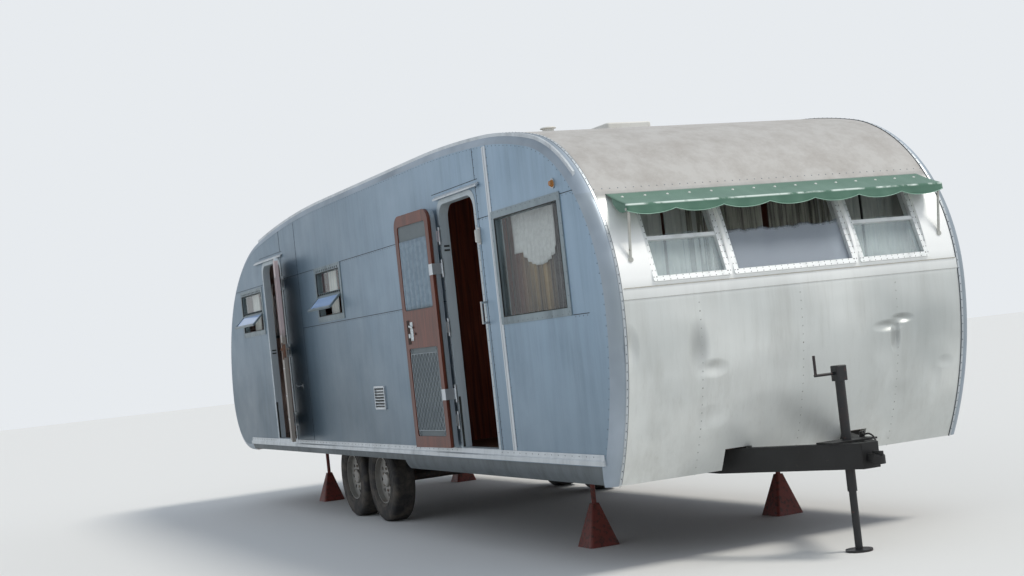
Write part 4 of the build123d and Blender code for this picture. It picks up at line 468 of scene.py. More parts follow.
# %% Glass, lamps and rubber
def clear(name, colour, rough=0.02, share=1.0, bend=1.47):
    """Glass, clear or coloured."""
    made = Finish(name, colour, rough)
    made.set("Transmission Weight", share)
    made.set("IOR", bend)
    return made


CLEAN_PANE = (0.92, 0.96, 0.96)
pane = clear("window_glass", CLEAN_PANE, bend=1.18)
middle_pane = pane.sum("LESS_THAN", pane.sum("ABSOLUTE", pane.part("Y")), 0.43)
# Painted glare: the lower front panes, below the edge of the canopy's shade, are whitish and let less light
# through.
shade_edge = pane.sum("ADD", pane.part("Z"), pane.sum("MULTIPLY", pane.noise(9.0, 2, 0.5), 0.07))
painted_glare = pane.sum("MULTIPLY", pane.facing_way((0.9, 0, 0.1), 0.5), pane.ramp(shade_edge, 1.385, 1.365))
painted_glare = pane.sum("MULTIPLY", painted_glare, pane.ramp(middle_pane, 0, 1, 0.26, 0.30))
glare = pane.mix(middle_pane, tone(224, 234, 236), tone(206, 214, 224))
# Painted sky reflection: panes that face upwards, between the two ends, are pale blue and let less light
# through.
painted_sky_reflection = pane.sum("MULTIPLY", pane.facing_way((0, 0, 1), 0.4),
                    pane.ramp(pane.part("X"), -1.0, -1.1, 0.0, 0.85))
painted_sky_reflection = pane.sum("MULTIPLY", painted_sky_reflection, pane.ramp(pane.part("X"), -8.60, -8.55))
glared_pane = pane.mix(pane.sum("GREATER_THAN", painted_glare, 0.01), CLEAN_PANE, glare)
pane.paint(painted_sky_reflection, glared_pane, tone(168, 198, 240))
pane.set("Transmission Weight", pane.sum("SUBTRACT", pane.sum("SUBTRACT", 1.0, painted_glare), painted_sky_reflection))
PANES = ("window_glass", "front_door_glass", "rear_door_glass")
pane.on(*PANES)
for name in PANES:
    nodes[name].visible_shadow = False
clear("amber_glass", tone(236, 150, 40), 0.08, 0.6).on("marker_lamps")
clear("red_glass", tone(170, 24, 20), 0.08, 0.6).on("tail_lamps")
clear("white_glass", tone(240, 238, 230), 0.15, 0.4).on("porch_light")
rubber = Finish("tyre_rubber", tone(38, 37, 36), 0.75)
dusty = rubber.noise(9.0, 5, 0.6)
rubber.paint(rubber.ramp(dusty, 0.42, 0.75), tone(34, 33, 33), tone(92, 84, 74))
rubber.bump(rubber.noise(140.0, 2, 0.5), 0.0006, 0.4)
rubber.on(*[name for name in nodes if name.startswith("tyre")])
painted("wheel_paint", tone(150, 148, 142), tone(96, 70, 52), 0.45, 0.60, 0.4).on(
    *[name for name in nodes if name.startswith("rim")])
lead_rubber = Finish("lead_rubber", tone(22, 22, 23), 0.5)
lead_rubber.paint(lead_rubber.noise(60.0), tone(20, 20, 21), tone(48, 46, 44))
lead_rubber.bump(lead_rubber.noise(500.0, 2, 0.5), 0.0002, 0.4)
lead_rubber.on("tongue_lead")
print("glass and rubber ready")


# %% Cloth finishes
THREADS = 900.0


def woven(name, colour, worn, rough=0.85):
    """Plain woven cloth with a fine thread bump and faded patches."""
    made = Finish(name, colour, rough)
    faded = made.noise(4.0, 5, 0.6)
    made.paint(made.ramp(faded, 0.35, 0.75), colour, worn)
    made.set("Sheen Weight", 0.25)
    made.bump(made.noise(THREADS, 1, 0.5), 0.0004, 0.5)
    return made


canvas = woven("canvas", tone(72, 110, 91), tone(92, 128, 109))
# Painted highlight: a pale streak along the fold where the canvas goes over the bar, broken up with noise as
# worn canvas.
on_bar = canvas.sum("MULTIPLY", canvas.ramp(canvas.part("Z"), 1.508, 1.514),
                    canvas.ramp(canvas.part("X"), -0.528, -0.520))
fold_highlight_and_wear = canvas.sum("MULTIPLY", on_bar, canvas.ramp(canvas.noise(9.0, 4, 0.6), 0.42, 0.55))
canvas.paint(fold_highlight_and_wear, canvas.colour(), tone(214, 226, 216))
canvas.on("canopy")
cloth = woven("curtain_cloth", tone(244, 243, 238), tone(226, 224, 216))
# Painted shade: darker upright streaks stand for the shade in the folds.
painted_fold_streaks = cloth.noise(1.0, 4, 0.65, cloth.stretched((70, 70, 3.0)))
fold_shaded = cloth.mix(cloth.ramp(painted_fold_streaks, 0.46, 0.66), cloth.colour(), tone(206, 210, 207))
# Painted shade: the front curtains are much darker above the height of the canopy's shade.
painted_canopy_shade = cloth.sum("MULTIPLY", cloth.ramp(cloth.part("X"), -1.0, -0.95),
                         cloth.ramp(cloth.part("Z"), 1.33, 1.37, 0.0, 0.62))
cloth.paint(painted_canopy_shade, fold_shaded, tone(62, 60, 54))
cloth.on("curtains")
woven("lace", tone(232, 230, 224), tone(214, 210, 202)).on("screen_curtain", "rear_door_curtain")
woven("fly_mesh", tone(78, 90, 94), tone(98, 108, 110), 0.6).on("screen_mesh")
print("cloth ready")

# %% [markdown]
# ## The line of the skin
# Rivets, seams and bands must sit on the skin, also where it is round. A straight line is shot at the
# CAD panels from outside all the way round, and the places that it meets make one outline of the
# cabin with the way that the skin faces at each place. Everything on the skin is laid along that.

# %% Outline of the cabin
HALF = 1.22
COVE = 0.065
BEAD = 1.148
CLEAR_OF_WINDOWS = 1.10
bpy.context.view_layer.update()


def touch(start, ahead, *names):
    """Where a straight line first meets some CAD nodes, and which way they face there."""
    met = []
    for name in names:
        found, place, facing, _ = nodes[name].ray_cast(Vector(start), Vector(ahead).normalized())
        if found:
            met.append(((place - Vector(start)).length, place, facing))
    return min(met, key=lambda one: one[0])[1:] if met else None


def evenly(line, step):
    """Walk along a line of places and pick one every so often."""
    picked, left = [line[0]], step
    for (a, a_facing), (b, b_facing) in zip(line, line[1:]):
        run = (b - a).length
        while run > left:
            share = left / run
            a, a_facing = a.lerp(b, share), a_facing.lerp(b_facing, share).normalized()
            picked.append((a, a_facing))
            run, left = (b - a).length, step
        left -= run
    return picked


rays = [(-3.0, math.radians(turn / 2)) for turn in range(-34, 180)]
rays += [(-3.0 - step * 0.05, math.pi / 2) for step in range(84)]
rays += [(-7.2, math.radians(90 + turn / 2)) for turn in range(0, 236)]
outline = []
for centre, turn in rays:
    out = Vector((math.cos(turn), 0, math.sin(turn)))
    middle = Vector((centre, CLEAR_OF_WINDOWS, 0.62))
    met = touch(middle + out * 4, -out, "front_panel", "roof_panel", "rear_panel")
    if met and (met[0] - middle).dot(out) > 0:
        outline.append((Vector((met[0].x, 0, met[0].z)), Vector((met[1].x, 0, met[1].z)).normalized()))
outline = evenly(outline, 0.01)
wall_edge = [(place - facing * COVE, facing) for place, facing in outline]
print("outline of", len(outline), "places,", round(len(outline) * 0.01, 2), "m")


def crossing(line, axis, value, pick):
    """Where the outline crosses a height or a length, taking the foremost, hindmost or topmost place."""
    found = [a for (a, _), (b, _) in zip(line, line[1:]) if (a[axis] - value) * (b[axis] - value) <= 0]
    return pick(found, key=lambda place: place[2 - axis])


# %% [markdown]
# ## Rivets
# Thousands of round-headed rivets hold the sheets. One small head is a short cone with a flat top,
# then set down at every place and turned the way the skin faces there. It has few faces, because it
# is repeated so often.

# %% Helpers for pieces on the skin
def put(name, shape, finish, body="caravan", smooth=True):
    """Make a shape a finished piece that rides on a body."""
    mesh = bpy.data.meshes.new(name)
    shape.to_mesh(mesh)
    shape.free()
    if smooth:
        mesh.shade_smooth()
    mesh.materials.append(finish.material)
    made = bpy.data.objects.new(name, mesh)
    bpy.context.scene.collection.objects.link(made)
    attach(made, body)
    return made


def round_over(shape, edge):
    """Round every edge of a shape over."""
    bmesh.ops.bevel(shape, geom=shape.edges[:], offset=edge, segments=2, affect="EDGES", profile=0.5,
                    material=-1)


def rivet_head(radius, sides=8):
    """One small head, as a mesh to set down many times."""
    head = bmesh.new()
    bmesh.ops.create_cone(head, cap_ends=True, segments=sides, radius1=radius, radius2=radius * 0.55,
                          depth=radius * 0.5, matrix=Matrix.Translation((0, 0, radius * 0.2)))
    mesh = bpy.data.meshes.new("rivet_head")
    head.to_mesh(mesh)
    head.free()
    return mesh


def set_at(place, way):
    """The move that sets a shape down at a place, with its own Z turned to one way."""
    return Matrix.Translation(place) @ way.to_track_quat("Z", "Y").to_matrix().to_4x4()


def repeated(name, one, places, finish, body="caravan"):
    """Set one small shape down at many places, turned the way the surface faces."""
    many = bmesh.new()
    for place, facing in places:
        copy = one.copy()
        copy.transform(set_at(place, facing))
        many.from_mesh(copy)
        bpy.data.meshes.remove(copy)
    print(name, len(places), "times")
    return put(name, many, finish, body, smooth=False)


def free_runs(start, end, taken):
    """Split a run into the parts that nothing takes up."""
    runs = [(min(start, end), max(start, end))]
    for low, high in taken:
        runs = [part for a, b in runs for part in ((a, min(b, low)), (max(a, high), b))
                if part[1] - part[0] > 0.02]
    return runs


# %% Places taken on each side wall
DOORWAYS = ((-2.875, -2.265), (-7.565, -6.955))
DOOR_TOP = 1.82
JAMB_EDGE = 0.034
RAIL_TOP = 0.172
WINDOW_EDGE = 0.022
BIG_WINDOW = (-1.505, 0.98, 0.95, 0.665)
MIDDLE_WINDOW = (-5.525, 1.21, 0.69, 0.42)
BACK_WINDOW = (-8.09, 1.20, 0.80, 0.415)
SIDE_WINDOWS = {
    -1: (BIG_WINDOW, MIDDLE_WINDOW, BACK_WINDOW),
    1: (BIG_WINDOW, (-3.50, 1.21, 0.69, 0.42), MIDDLE_WINDOW, BACK_WINDOW),
}
taken = {}
for face, windows in SIDE_WINDOWS.items():
    taken[face] = [
        (middle - wide / 2 - WINDOW_EDGE, middle + wide / 2 + WINDOW_EDGE,
         sill - WINDOW_EDGE, sill + high + WINDOW_EDGE)
        for middle, sill, wide, high in windows
    ]
taken[-1] += [(low - JAMB_EDGE, high + JAMB_EDGE, -1, DOOR_TOP + JAMB_EDGE) for low, high in DOORWAYS]
taken[-1] += [(low - 0.25, high + 0.13, 1.875, 1.90) for low, high in DOORWAYS]
taken[-1] += [(-4.60, -4.36, 0.43, 0.63)]
print("places taken", {face: len(boxes) for face, boxes in taken.items()})

# %% [markdown]
# ## Seams and rivet rows on the side walls
# The side skin is made of sheets that lap by a finger's width. Each lap shows as a fine dark line of
# old sealer with a rivet row beside it. The long laps run level, broken by doors and windows, and the
# upright ones go from the belt rail to the rolled edge. Each row is broken where a door, a window, the
# vent or a drip cap takes up its place.

# %% Side seams
RIVET = 0.0042
SEAM = 0.0045
RIVET_STEP = 0.052
LEVEL_LAPS = {-1: ((1.65, -9.3, -0.8), (1.17, -6.40, -2.85), (0.96, -1.0, -0.8)),
              1: ((1.65, -9.3, -0.8), (1.17, -9.3, -2.03))}
UPRIGHT_LAPS = {-1: (-1.99, -2.205, -6.40, -6.91), 1: (-2.03, -4.40, -6.40, -7.55)}
side_rivets, side_seams = [], []


def across_wall(face, low, high, height):
    """The free parts of a level line on a side wall."""
    hindmost, foremost = crossing(wall_edge, 2, height, min).x, crossing(wall_edge, 2, height, max).x
    blocked = [(a, b) for a, b, bottom, top in taken[face] if bottom <= height <= top]
    return free_runs(max(low, hindmost), min(high, foremost), blocked)


def up_wall(face, along, low, high):
    """The free parts of an upright line on a side wall."""
    top = crossing(wall_edge, 0, along, max).z
    blocked = [(bottom, over) for a, b, bottom, over in taken[face] if a <= along <= b]
    return free_runs(max(low, RAIL_TOP), min(high, top), blocked)


def spaced(low, high, step):
    """Places about a step apart from low to high, with half a gap left at each end."""
    count = max(1, round((high - low) / step))
    return [low + (high - low) * (place + 0.5) / count for place in range(count)]


for face in (-1, 1):
    out = Vector((0, face, 0))
    for height, low, high in LEVEL_LAPS[face]:
        for a, b in across_wall(face, low, high, height):
            side_seams.append(((a + b) / 2, face, height, b - a, SEAM))
            side_rivets += [(Vector((at, face * HALF, height - 0.011)), out) for at in spaced(a, b, RIVET_STEP)]
    for along in UPRIGHT_LAPS[face]:
        for a, b in up_wall(face, along, 0, 3):
            side_seams.append((along, face, (a + b) / 2, SEAM, b - a))
            side_rivets += [(Vector((along + 0.011, face * HALF, at)), out) for at in spaced(a, b, RIVET_STEP)]
    for middle, sill, wide, high in SIDE_WINDOWS[face]:
        wide, high = wide + WINDOW_EDGE, high + WINDOW_EDGE
        on_flange = Vector((middle, face * (HALF + 0.006), sill + (high - WINDOW_EDGE) / 2))
        for end in (-1, 1):
            side_rivets += [(on_flange + Vector((at, 0, end * high / 2)), out)
                            for at in spaced(-wide / 2, wide / 2, 0.07)]
            side_rivets += [(on_flange + Vector((end * wide / 2, 0, at)), out)
                            for at in spaced(-high / 2, high / 2, 0.07)]
    for place, facing in evenly(wall_edge, 0.058):
        if place.z > RAIL_TOP:
            spot = place - facing * 0.008
            side_rivets.append((Vector((spot.x, face * HALF, spot.z)), out))
    doors = [(low - JAMB_EDGE, high + JAMB_EDGE) for low, high in DOORWAYS] if face < 0 else []
    for a, b in free_runs(-8.55, -0.86, doors):
        side_rivets += [(Vector((at, face * (HALF + 0.018), RAIL_TOP - 0.012)), out)
                        for at in spaced(a, b, 0.09)]
for low, high in DOORWAYS:
    for along in (low - 0.022, high + 0.022):
        side_rivets += [(Vector((along, -HALF - 0.003, at)), Vector((0, -1, 0)))
                        for at in spaced(RAIL_TOP, 1.72, 0.075)]
print(len(side_seams), "seams,", len(side_rivets), "rivets")

# %% Make the side seams and rivets
sealer = Finish("old_sealer", tone(52, 58, 64), 0.8)
rivet_metal = painted("rivet_metal", tone(112, 120, 126), tone(60, 62, 62), 0.45, 0.55, 0.5)


def bars(name, rows, finish, proud, edge=0.0):
    """Flat bars on the side walls, one for each (along, side, height, length, width)."""
    shape = bmesh.new()
    for along, face, height, wide, high in rows:
        place = Matrix.Translation((along, face * (HALF + proud / 2 - 0.0005), height))
        bmesh.ops.create_cube(shape, size=1, matrix=place @ Matrix.Diagonal((wide, proud + 0.001, high, 1)))
    if edge:
        round_over(shape, edge)
    return put(name, shape, finish, smooth=False)


bars("side_seams", side_seams, sealer, 0.0012)
repeated("side_rivets", rivet_head(RIVET), side_rivets, rivet_metal)

# %% [markdown]
# ## The strips behind the big window
# On each side an upright strip covers the lap where the front sheet ends, and on the door side a
# narrow one lies against it. They are folded sheet, so their long edges are rounded over.

# %% Upright strips
STRIP_PLACE = -2.0
NARROW_STRIP_PLACE = -2.03
strip_top = crossing(wall_edge, 0, STRIP_PLACE, max).z - 0.004
strip_middle, strip_length = (RAIL_TOP + strip_top) / 2, strip_top - RAIL_TOP
strips = [(STRIP_PLACE, face, strip_middle, 0.030, strip_length) for face in (-1, 1)]
strips += [(NARROW_STRIP_PLACE, -1, strip_middle, 0.016, strip_length)]
bars("upright_strips", strips, trim, 0.005, edge=0.002)
print("strips up to", round(strip_top, 3))

# %% [markdown]
# ## Rivets and bands on the rounded front, roof and back
# The sheets of the rounded part meet the rolled edges under a bead with its own rivet row. On the
# front a band runs under the windows, between two rows of paler rivets and two thin lines of tan
# sealer, and three upright rows hold the ribs behind the skin. Each lap, band and line of sealer is a
# ribbon: a narrow grid laid along its line, then given thickness.

# %% Ribbons along the outline
def ribbon(name, lines, wide, proud, finish):
    """Thin strips laid along lines of (place, facing), a little proud of the skin."""
    shape = bmesh.new()
    for line in lines:
        strip = bmesh.ops.create_grid(shape, x_segments=len(line) - 1, y_segments=1, size=1)["verts"]
        for corner in strip:
            order = round((corner.co.x + 1) / 2 * (len(line) - 1))
            place, facing = line[order]
            before, after = line[max(order - 1, 0)][0], line[min(order + 1, len(line) - 1)][0]
            sideways = facing.cross(after - before).normalized()
            corner.co = place + facing * proud - sideways * corner.co.y * wide / 2
    bmesh.ops.recalc_face_normals(shape, faces=shape.faces)
    if shape.faces and shape.faces[0].normal.dot(lines[0][0][1]) < 0:
        bmesh.ops.reverse_faces(shape, faces=shape.faces)
    made = put(name, shape, finish, smooth=False)
    thickness = made.modifiers.new("thickness", "SOLIDIFY")
    thickness.thickness = proud + 0.001
    thickness.offset = -1
    return made


def along_outline(across, keep, step=0.03, lift=0.0):
    """The outline's places at one distance from the middle, where keep says so."""
    return [(Vector((place.x, across, place.z)) + facing * lift, facing)
            for place, facing in evenly(outline, step) if keep(place)]


def across_outline(height, pick, step=0.03, reach=1.13, axis=2):
    """A line of places right across the rounded part, at one height or length."""
    place = crossing(outline, axis, height, pick)
    facing = min(outline, key=lambda one: (one[0] - place).length)[1]
    count = round(2 * reach / step)
    return [(Vector((place.x, reach - 2 * reach * order / count, place.z)), facing)
            for order in range(count + 1)]


BAND_LOW, BAND_HIGH = 1.02, 1.062
wrap_rivets, wrap_seams, front_rivets = [], [], []
for across in (-BEAD, BEAD):
    wrap_rivets += along_outline(across, lambda place: True, 0.048, 0.003)
for across in (-0.67, 0.0, 0.67):
    front_rivets += along_outline(across, lambda place: place.x > -2 and place.z < BAND_LOW - 0.02, 0.048)
    wrap_rivets += along_outline(across, lambda place: place.x < -8 and place.z < 1.13, 0.055)
for height in (BAND_LOW, BAND_HIGH):
    front_rivets += across_outline(height, max, 0.034)
for height, pick in ((1.64, max), (1.15, min), (1.67, min)):
    wrap_rivets += across_outline(height, pick, 0.05)
wrap_seams.append(across_outline(1.14, min))
ROOF_LAPS = (-2.55, -3.75, -4.95, -6.15, -7.35)
for along in ROOF_LAPS:
    wrap_rivets += across_outline(along, max, 0.06, axis=0)
    wrap_seams.append(across_outline(along - 0.012, max, 0.06, axis=0))
repeated("wrap_rivets", rivet_head(RIVET), wrap_rivets, rivet_metal)
pale_rivet = painted("pale_rivet", tone(176, 178, 174), tone(104, 100, 92), 0.4, 0.52, 0.4)
repeated("front_rivets", rivet_head(RIVET), front_rivets, pale_rivet)
tan_sealer = Finish("tan_sealer", tone(168, 160, 144), 0.7)
tan_sealer.paint(tan_sealer.noise(18.0, 4, 0.6), tone(120, 112, 98), tone(206, 202, 190))
sealer_lines = [across_outline(height, max, 0.05) for height in (BAND_LOW - 0.012, BAND_HIGH + 0.012)]
ribbon("band_sealer", sealer_lines, 0.004, 0.0034, tan_sealer)
ribbon("wrap_seams", wrap_seams, SEAM, 0.001, sealer)
band = [across_outline((BAND_LOW + BAND_HIGH) / 2, max, 0.05, 1.138)]
ribbon("sill_band", band, 0.062, 0.003, nose)
# Painted shadow: a dark line in the sealer's colour runs along the joint under each bead.
bead_shadow = [along_outline(side * (BEAD - 0.009), lambda place: True) for side in (-1, 1)]
ribbon("bead_seam_shadows", bead_shadow, 0.004, 0.0012, sealer)
print(len(wrap_seams), "laps on the rounded part")

# %% [markdown]
# ## Canopy
# The canopy is one piece of green canvas, pulled from a rail on the wall over a front bar. It sags a
# little between the rods and ripples near its scalloped edge, which hangs free in seven bays. It is
# one grid: its first rows cover the slope and the last ones turn down over the bar as the valance.
# The two end flaps are its turned ends, and each is a small grid of its own.

# %% Canopy cloth
CANOPY_WALL = (-0.743, 1.606)
CANOPY_BAR = (-0.5165, 1.5185)
CANOPY_HALF = 1.075
CANVAS_THICK = 0.0014
BAYS = 7
SLOPE_ROWS, VALANCE_ROWS, BAY_COLUMNS = 14, 7, 16
random.seed(7)
bay_sag = [random.uniform(0.004, 0.010) for _ in range(BAYS)]


def bay_at(across):
    """Which bay of the canopy a place lies in, with how far through it."""
    return (across + CANOPY_HALF) / (2 * CANOPY_HALF) * BAYS


def scallop(across):
    """How far the valance hangs at a place across the canopy."""
    bay = bay_at(across)
    return 0.036 + 0.024 * math.sin(math.pi * (bay % 1.0)) ** 0.8


def canopy_place(across, down):
    """A place on the cloth: down runs from 0 at the wall to 1 at the bar, then to 2 at the hem."""
    bay = bay_at(across)
    which = min(int(bay), BAYS - 1)
    if down <= 1:
        between = bay_sag[which] * 0.3 * math.sin(math.pi * (bay % 1.0)) ** 2
        sag = 0.005 * math.sin(math.pi * down) + between * down * (1 - down)
        pull = 0.0010 * math.sin(bay * math.pi * 6 + 2.2 * down) * down * (1 - down) * 3
        return Vector((CANOPY_WALL[0] + (CANOPY_BAR[0] - CANOPY_WALL[0]) * down, across,
                       CANOPY_WALL[1] + (CANOPY_BAR[1] - CANOPY_WALL[1]) * down - sag + pull))
    hang = down - 1
    wave = (0.0035 * (1 + math.sin(bay * math.pi * 4 + 0.7)) + 0.001 * (1 + math.sin(bay * 23))) * hang
    return Vector((CANOPY_BAR[0] + 0.002 * math.sin(math.pi * min(hang * 3, 1)) + wave, across,
                   CANOPY_BAR[1] - scallop(across) * hang))


def draped_grid(name, columns, rows, place_of, finish, thick, body="caravan"):
    """A sheet of cloth: a grid whose corners are moved to where place_of puts them."""
    shape = bmesh.new()
    bmesh.ops.create_grid(shape, x_segments=columns, y_segments=rows, size=0.5)
    for corner in shape.verts:
        corner.co = place_of(corner.co.x + 0.5, corner.co.y + 0.5)
    area = sum(face.calc_area() for face in shape.faces)
    made = put(name, shape, finish, body)
    cloth_thickness = made.modifiers.new("cloth_thickness", "SOLIDIFY")
    cloth_thickness.thickness = thick
    cloth_thickness.offset = 0
    return made, area


def canopy_corner(u, v):
    """The canopy's grid: u runs from the left end to the right one, v from the wall to the hem."""
    across = CANOPY_HALF - 2 * CANOPY_HALF * u
    down = v * (SLOPE_ROWS + VALANCE_ROWS)
    down = down / SLOPE_ROWS if down <= SLOPE_ROWS else 1 + (down - SLOPE_ROWS) / VALANCE_ROWS
    return canopy_place(across, down)


canopy_cloth, canopy_area = draped_grid(
    "canopy_cloth", BAYS * BAY_COLUMNS, SLOPE_ROWS + VALANCE_ROWS, canopy_corner, canvas, CANVAS_THICK)
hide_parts("canopy")


# %% End flaps
def flap_corner(side):
    """The end flap's grid: u runs from the wall to the bar, v from the cloth's edge down."""
    def place(u, v):
        along = 0.30 + 0.70 * u
        top = canopy_place(side * CANOPY_HALF, along)
        drop = 0.036 + 0.026 * math.sin(math.pi * u)
        inward = side * (0.002 + 0.004 * math.sin(math.pi * v / 2))
        return top + Vector((0, -inward, -drop * v))
    return place


for side, name in ((-1, "canopy_flap_right"), (1, "canopy_flap_left")):
    flap, flap_area = draped_grid(name, 16, 6, flap_corner(side), canvas, CANVAS_THICK)
print("flaps hung")


# %% Round bars, and the canopy's piping and snaps
def rod(name, places, radius, finish, sides=8, body="caravan"):
    """A round bar that follows a line of places: a ring is set at each place and bridged to the next."""
    shape = bmesh.new()
    rings = []
    for order, place in enumerate(places):
        run = (places[min(order + 1, len(places) - 1)] - places[max(order - 1, 0)]).normalized()
        ring = bmesh.ops.create_circle(shape, segments=sides, radius=radius, matrix=set_at(place, run))
        rings.append(ring["verts"])
    owner = {corner: order for order, ring in enumerate(rings) for corner in ring}
    loops = [[] for _ in rings]
    for edge in shape.edges:
        loops[owner[edge.verts[0]]].append(edge)
    for first, second in zip(loops, loops[1:]):
        bmesh.ops.bridge_loops(shape, edges=first + second)
    for ends in (loops[0], loops[-1]):
        bmesh.ops.holes_fill(shape, edges=ends, sides=sides)
    bmesh.ops.recalc_face_normals(shape, faces=shape.faces)
    return put(name, shape, finish, body)


hem_parts = BAYS * BAY_COLUMNS
hem = [canopy_place(CANOPY_HALF - 2 * CANOPY_HALF * order / hem_parts, 2) for order in range(hem_parts + 1)]
rod("canopy_piping", hem, 0.0022, woven("piping", tone(146, 186, 164), tone(170, 200, 182)), 6)
SNAPS = 15
snap_paint = painted("snap_paint", tone(232, 230, 222), tone(180, 176, 166), 0.35)
snaps = [(canopy_place(CANOPY_HALF - 2 * CANOPY_HALF * (order + 0.5) / SNAPS, 0.30) + Vector((0, 0, 0.001)),
          Vector((0.38, 0, 0.92))) for order in range(SNAPS)]
repeated("canopy_snaps", rivet_head(0.0085, 10), snaps, snap_paint)
print("canopy done")

# %% [markdown]
# ## Curtains
# Thin curtains hang on rods behind the windows, all white but the dim pair in the middle of the front,
# whose dimness is partly painted shade. Painted shade also darkens the folds and the front tops.
# Each half is a flat cloth pushed together, so it falls in upright folds that are deep at the hem and
# tight at the rod. The grid follows a wave across its width, and the cut size is measured from the
# folded cloth. Behind the big window a lace swag with a rounded lower edge hangs in front of a brown
# curtain.

# %% Folded cloth
WALL_SIDE = 1.108


def folded(name, start, end, top, hem, deep, folds, finish, out, seed=1, hem_line=None, body="caravan",
           rests="curtain_rods"):
    """A curtain between two places on its rod, falling in folds that get deeper towards the hem."""
    chance = random.Random(seed)
    shift = [chance.uniform(-0.35, 0.35) for _ in range(folds + 2)]
    columns, rows = folds * 10, 14

    def place(u, v):
        way = u * folds
        phase = 2 * math.pi * way + shift[int(way)] * (1 - way % 1) + shift[int(way) + 1] * (way % 1)
        swing = deep * (0.45 + 0.55 * v) * math.sin(phase + 0.5 * math.sin(3 * v))
        low = hem if hem_line is None else top - (top - hem) * hem_line(u)
        sway = 0.10 * (end - start).length / folds * math.sin(phase * 2) * v
        flat = start.lerp(end, u) + (end - start).normalized() * sway
        return Vector((flat.x, flat.y, top + (low - top) * v)) + out * swing

    made, area = draped_grid(name, columns, rows, place, finish, 0.0008, body)
    line = [place(order / columns, 0.5) for order in range(columns + 1)]
    cut_length = max((place(order / 20, 0) - place(order / 20, 1)).length for order in range(21)) * 1.02
    return made


def lacy(name, thread, gap, size):
    """Lace: thread drawn as flowers and dots over a thin see-through net."""
    made = woven(name, thread, tuple(v * 0.9 for v in thread))
    petals = made.node("TexVoronoi", {"Vector": made.place, "Scale": size, "Smoothness": 0.3},
                       feature="SMOOTH_F1")
    net = made.node("TexVoronoi", {"Vector": made.place, "Scale": size * 7}, feature="DISTANCE_TO_EDGE")
    flowers = made.ramp(petals.outputs["Distance"], 0.42, 0.50, 1, 0)
    holes = made.ramp(net.outputs["Distance"], 0.10, 0.16, 1, 0)
    made.set("Alpha", made.sum("MAXIMUM", made.ramp(flowers, 0, 1, gap, 1.0), holes))
    return made


net_lace = lacy("net_lace", tone(214, 214, 214), 0.86, 30.0)
# Painted shade: the screen door's lace is a darker, bluish copy of the white lace.
shaded_screen_lace = lacy("shaded_screen_lace", tone(128, 147, 160), 0.80, 26.0)
brown_cloth = woven("brown_cloth", tone(112, 84, 60), tone(70, 50, 38))
stripe = brown_cloth.noise(1.0, 3, 0.6, brown_cloth.stretched((19, 1, 0.6), (0.4, 0, 0)))
olive = brown_cloth.mix(brown_cloth.ramp(stripe, 0.36, 0.62), tone(64, 51, 41), tone(146, 121, 84))
# Painted reflection: the hind end of the brown curtain is painted a red-brown.
painted_brown_reflection = brown_cloth.ramp(brown_cloth.part("X"), -1.78, -1.90)
darkened = brown_cloth.ramp(brown_cloth.part("X"), -1.50, -1.38)
cloth_tone = brown_cloth.mix(painted_brown_reflection, olive, tone(88, 50, 40))
brown_cloth.paint(darkened, cloth_tone, tone(52, 50, 54))
hung = []


def swag_line(u):
    """How far down the swag hangs, as a share of the height: level at first, then rounded."""
    return 0.40 + 0.14 * math.sin(math.pi * max(0, (u - 0.22) / 0.78)) ** 0.6


def hang(name, start, end, top, hem, deep, folds, finish, *rest):
    """Hang one curtain of a side window, from start to end along the wall."""
    hung.append(folded(f"curtain_{name}", Vector((*start, 0)), Vector((*end, 0)), top, hem, deep, folds, finish,
                       Vector((0, 1, 0)), *rest))


for face, windows in SIDE_WINDOWS.items():
    for order, (middle, sill, wide, high) in enumerate(windows):
        side, name = face * WALL_SIDE, f"{'road' if face > 0 else 'door'}_{order}"
        top, hem, left, right = sill + high + 0.024, sill - 0.014, middle - wide / 2, middle + wide / 2
        if wide > 0.9:
            behind, before = side - face * 0.005, side + face * 0.007
            hang(name + "_back", (left - 0.06, behind), (right - 0.16, behind), top, hem, 0.0055, 14,
                 brown_cloth, 3)
            hang(name + "_swag", (left + 0.04, before), (right - 0.30, before), top, hem, 0.0075, 11,
                 net_lace, 5, swag_line)
            continue
        for half, (a, b) in enumerate(((left + 0.01, middle - wide * 0.16),
                                       (middle + wide * 0.18, right - 0.01))):
            hang(f"{name}_{half}", (a, side), (b, side), top, hem, 0.010, 5, cloth, 11 + order + half)
# The dim middle pair at the front is a brownish-grey cloth whose dark tone is partly painted shade from the
# canopy, with darker upright streaks as painted shade in its folds.
dim_shaded_cloth = woven("dim_shaded_cloth", tone(122, 116, 104), tone(92, 86, 78))
painted_dim_fold_shade = dim_shaded_cloth.noise(1.0, 4, 0.7, dim_shaded_cloth.stretched((60, 60, 2.4)))
dim_shaded_cloth.paint(dim_shaded_cloth.ramp(painted_dim_fold_shade, 0.42, 0.64), tone(134, 130, 120), tone(52, 44, 38))
END_WINDOWS = ((-0.69, 0.50), (0.0, 0.84), (0.69, 0.50))
for end, along, hem, top in (("front", -0.815, 1.072, 1.588), ("rear", -8.760, 1.177, 1.588)):
    for order, (middle, wide) in enumerate(END_WINDOWS):
        broad = wide > 0.7
        finish = net_lace if end == "rear" else dim_shaded_cloth if broad else cloth
        for half in (-1, 1):
            inner = middle + half * (0.02 if broad else 0.008)
            outer = middle + half * (wide / 2 + (0.06 if half * middle < 0 else 0.10) + (0.05 if broad else 0))
            hung.append(folded(
                f"curtain_{end}_{order}_{half + 1}", Vector((along, inner, 0)), Vector((along, outer, 0)),
                top, hem, 0.010, 7 if broad else 5, finish, Vector((1, 0, 0)), 23 + order + half))
for piece in hung:
    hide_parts("curtains")
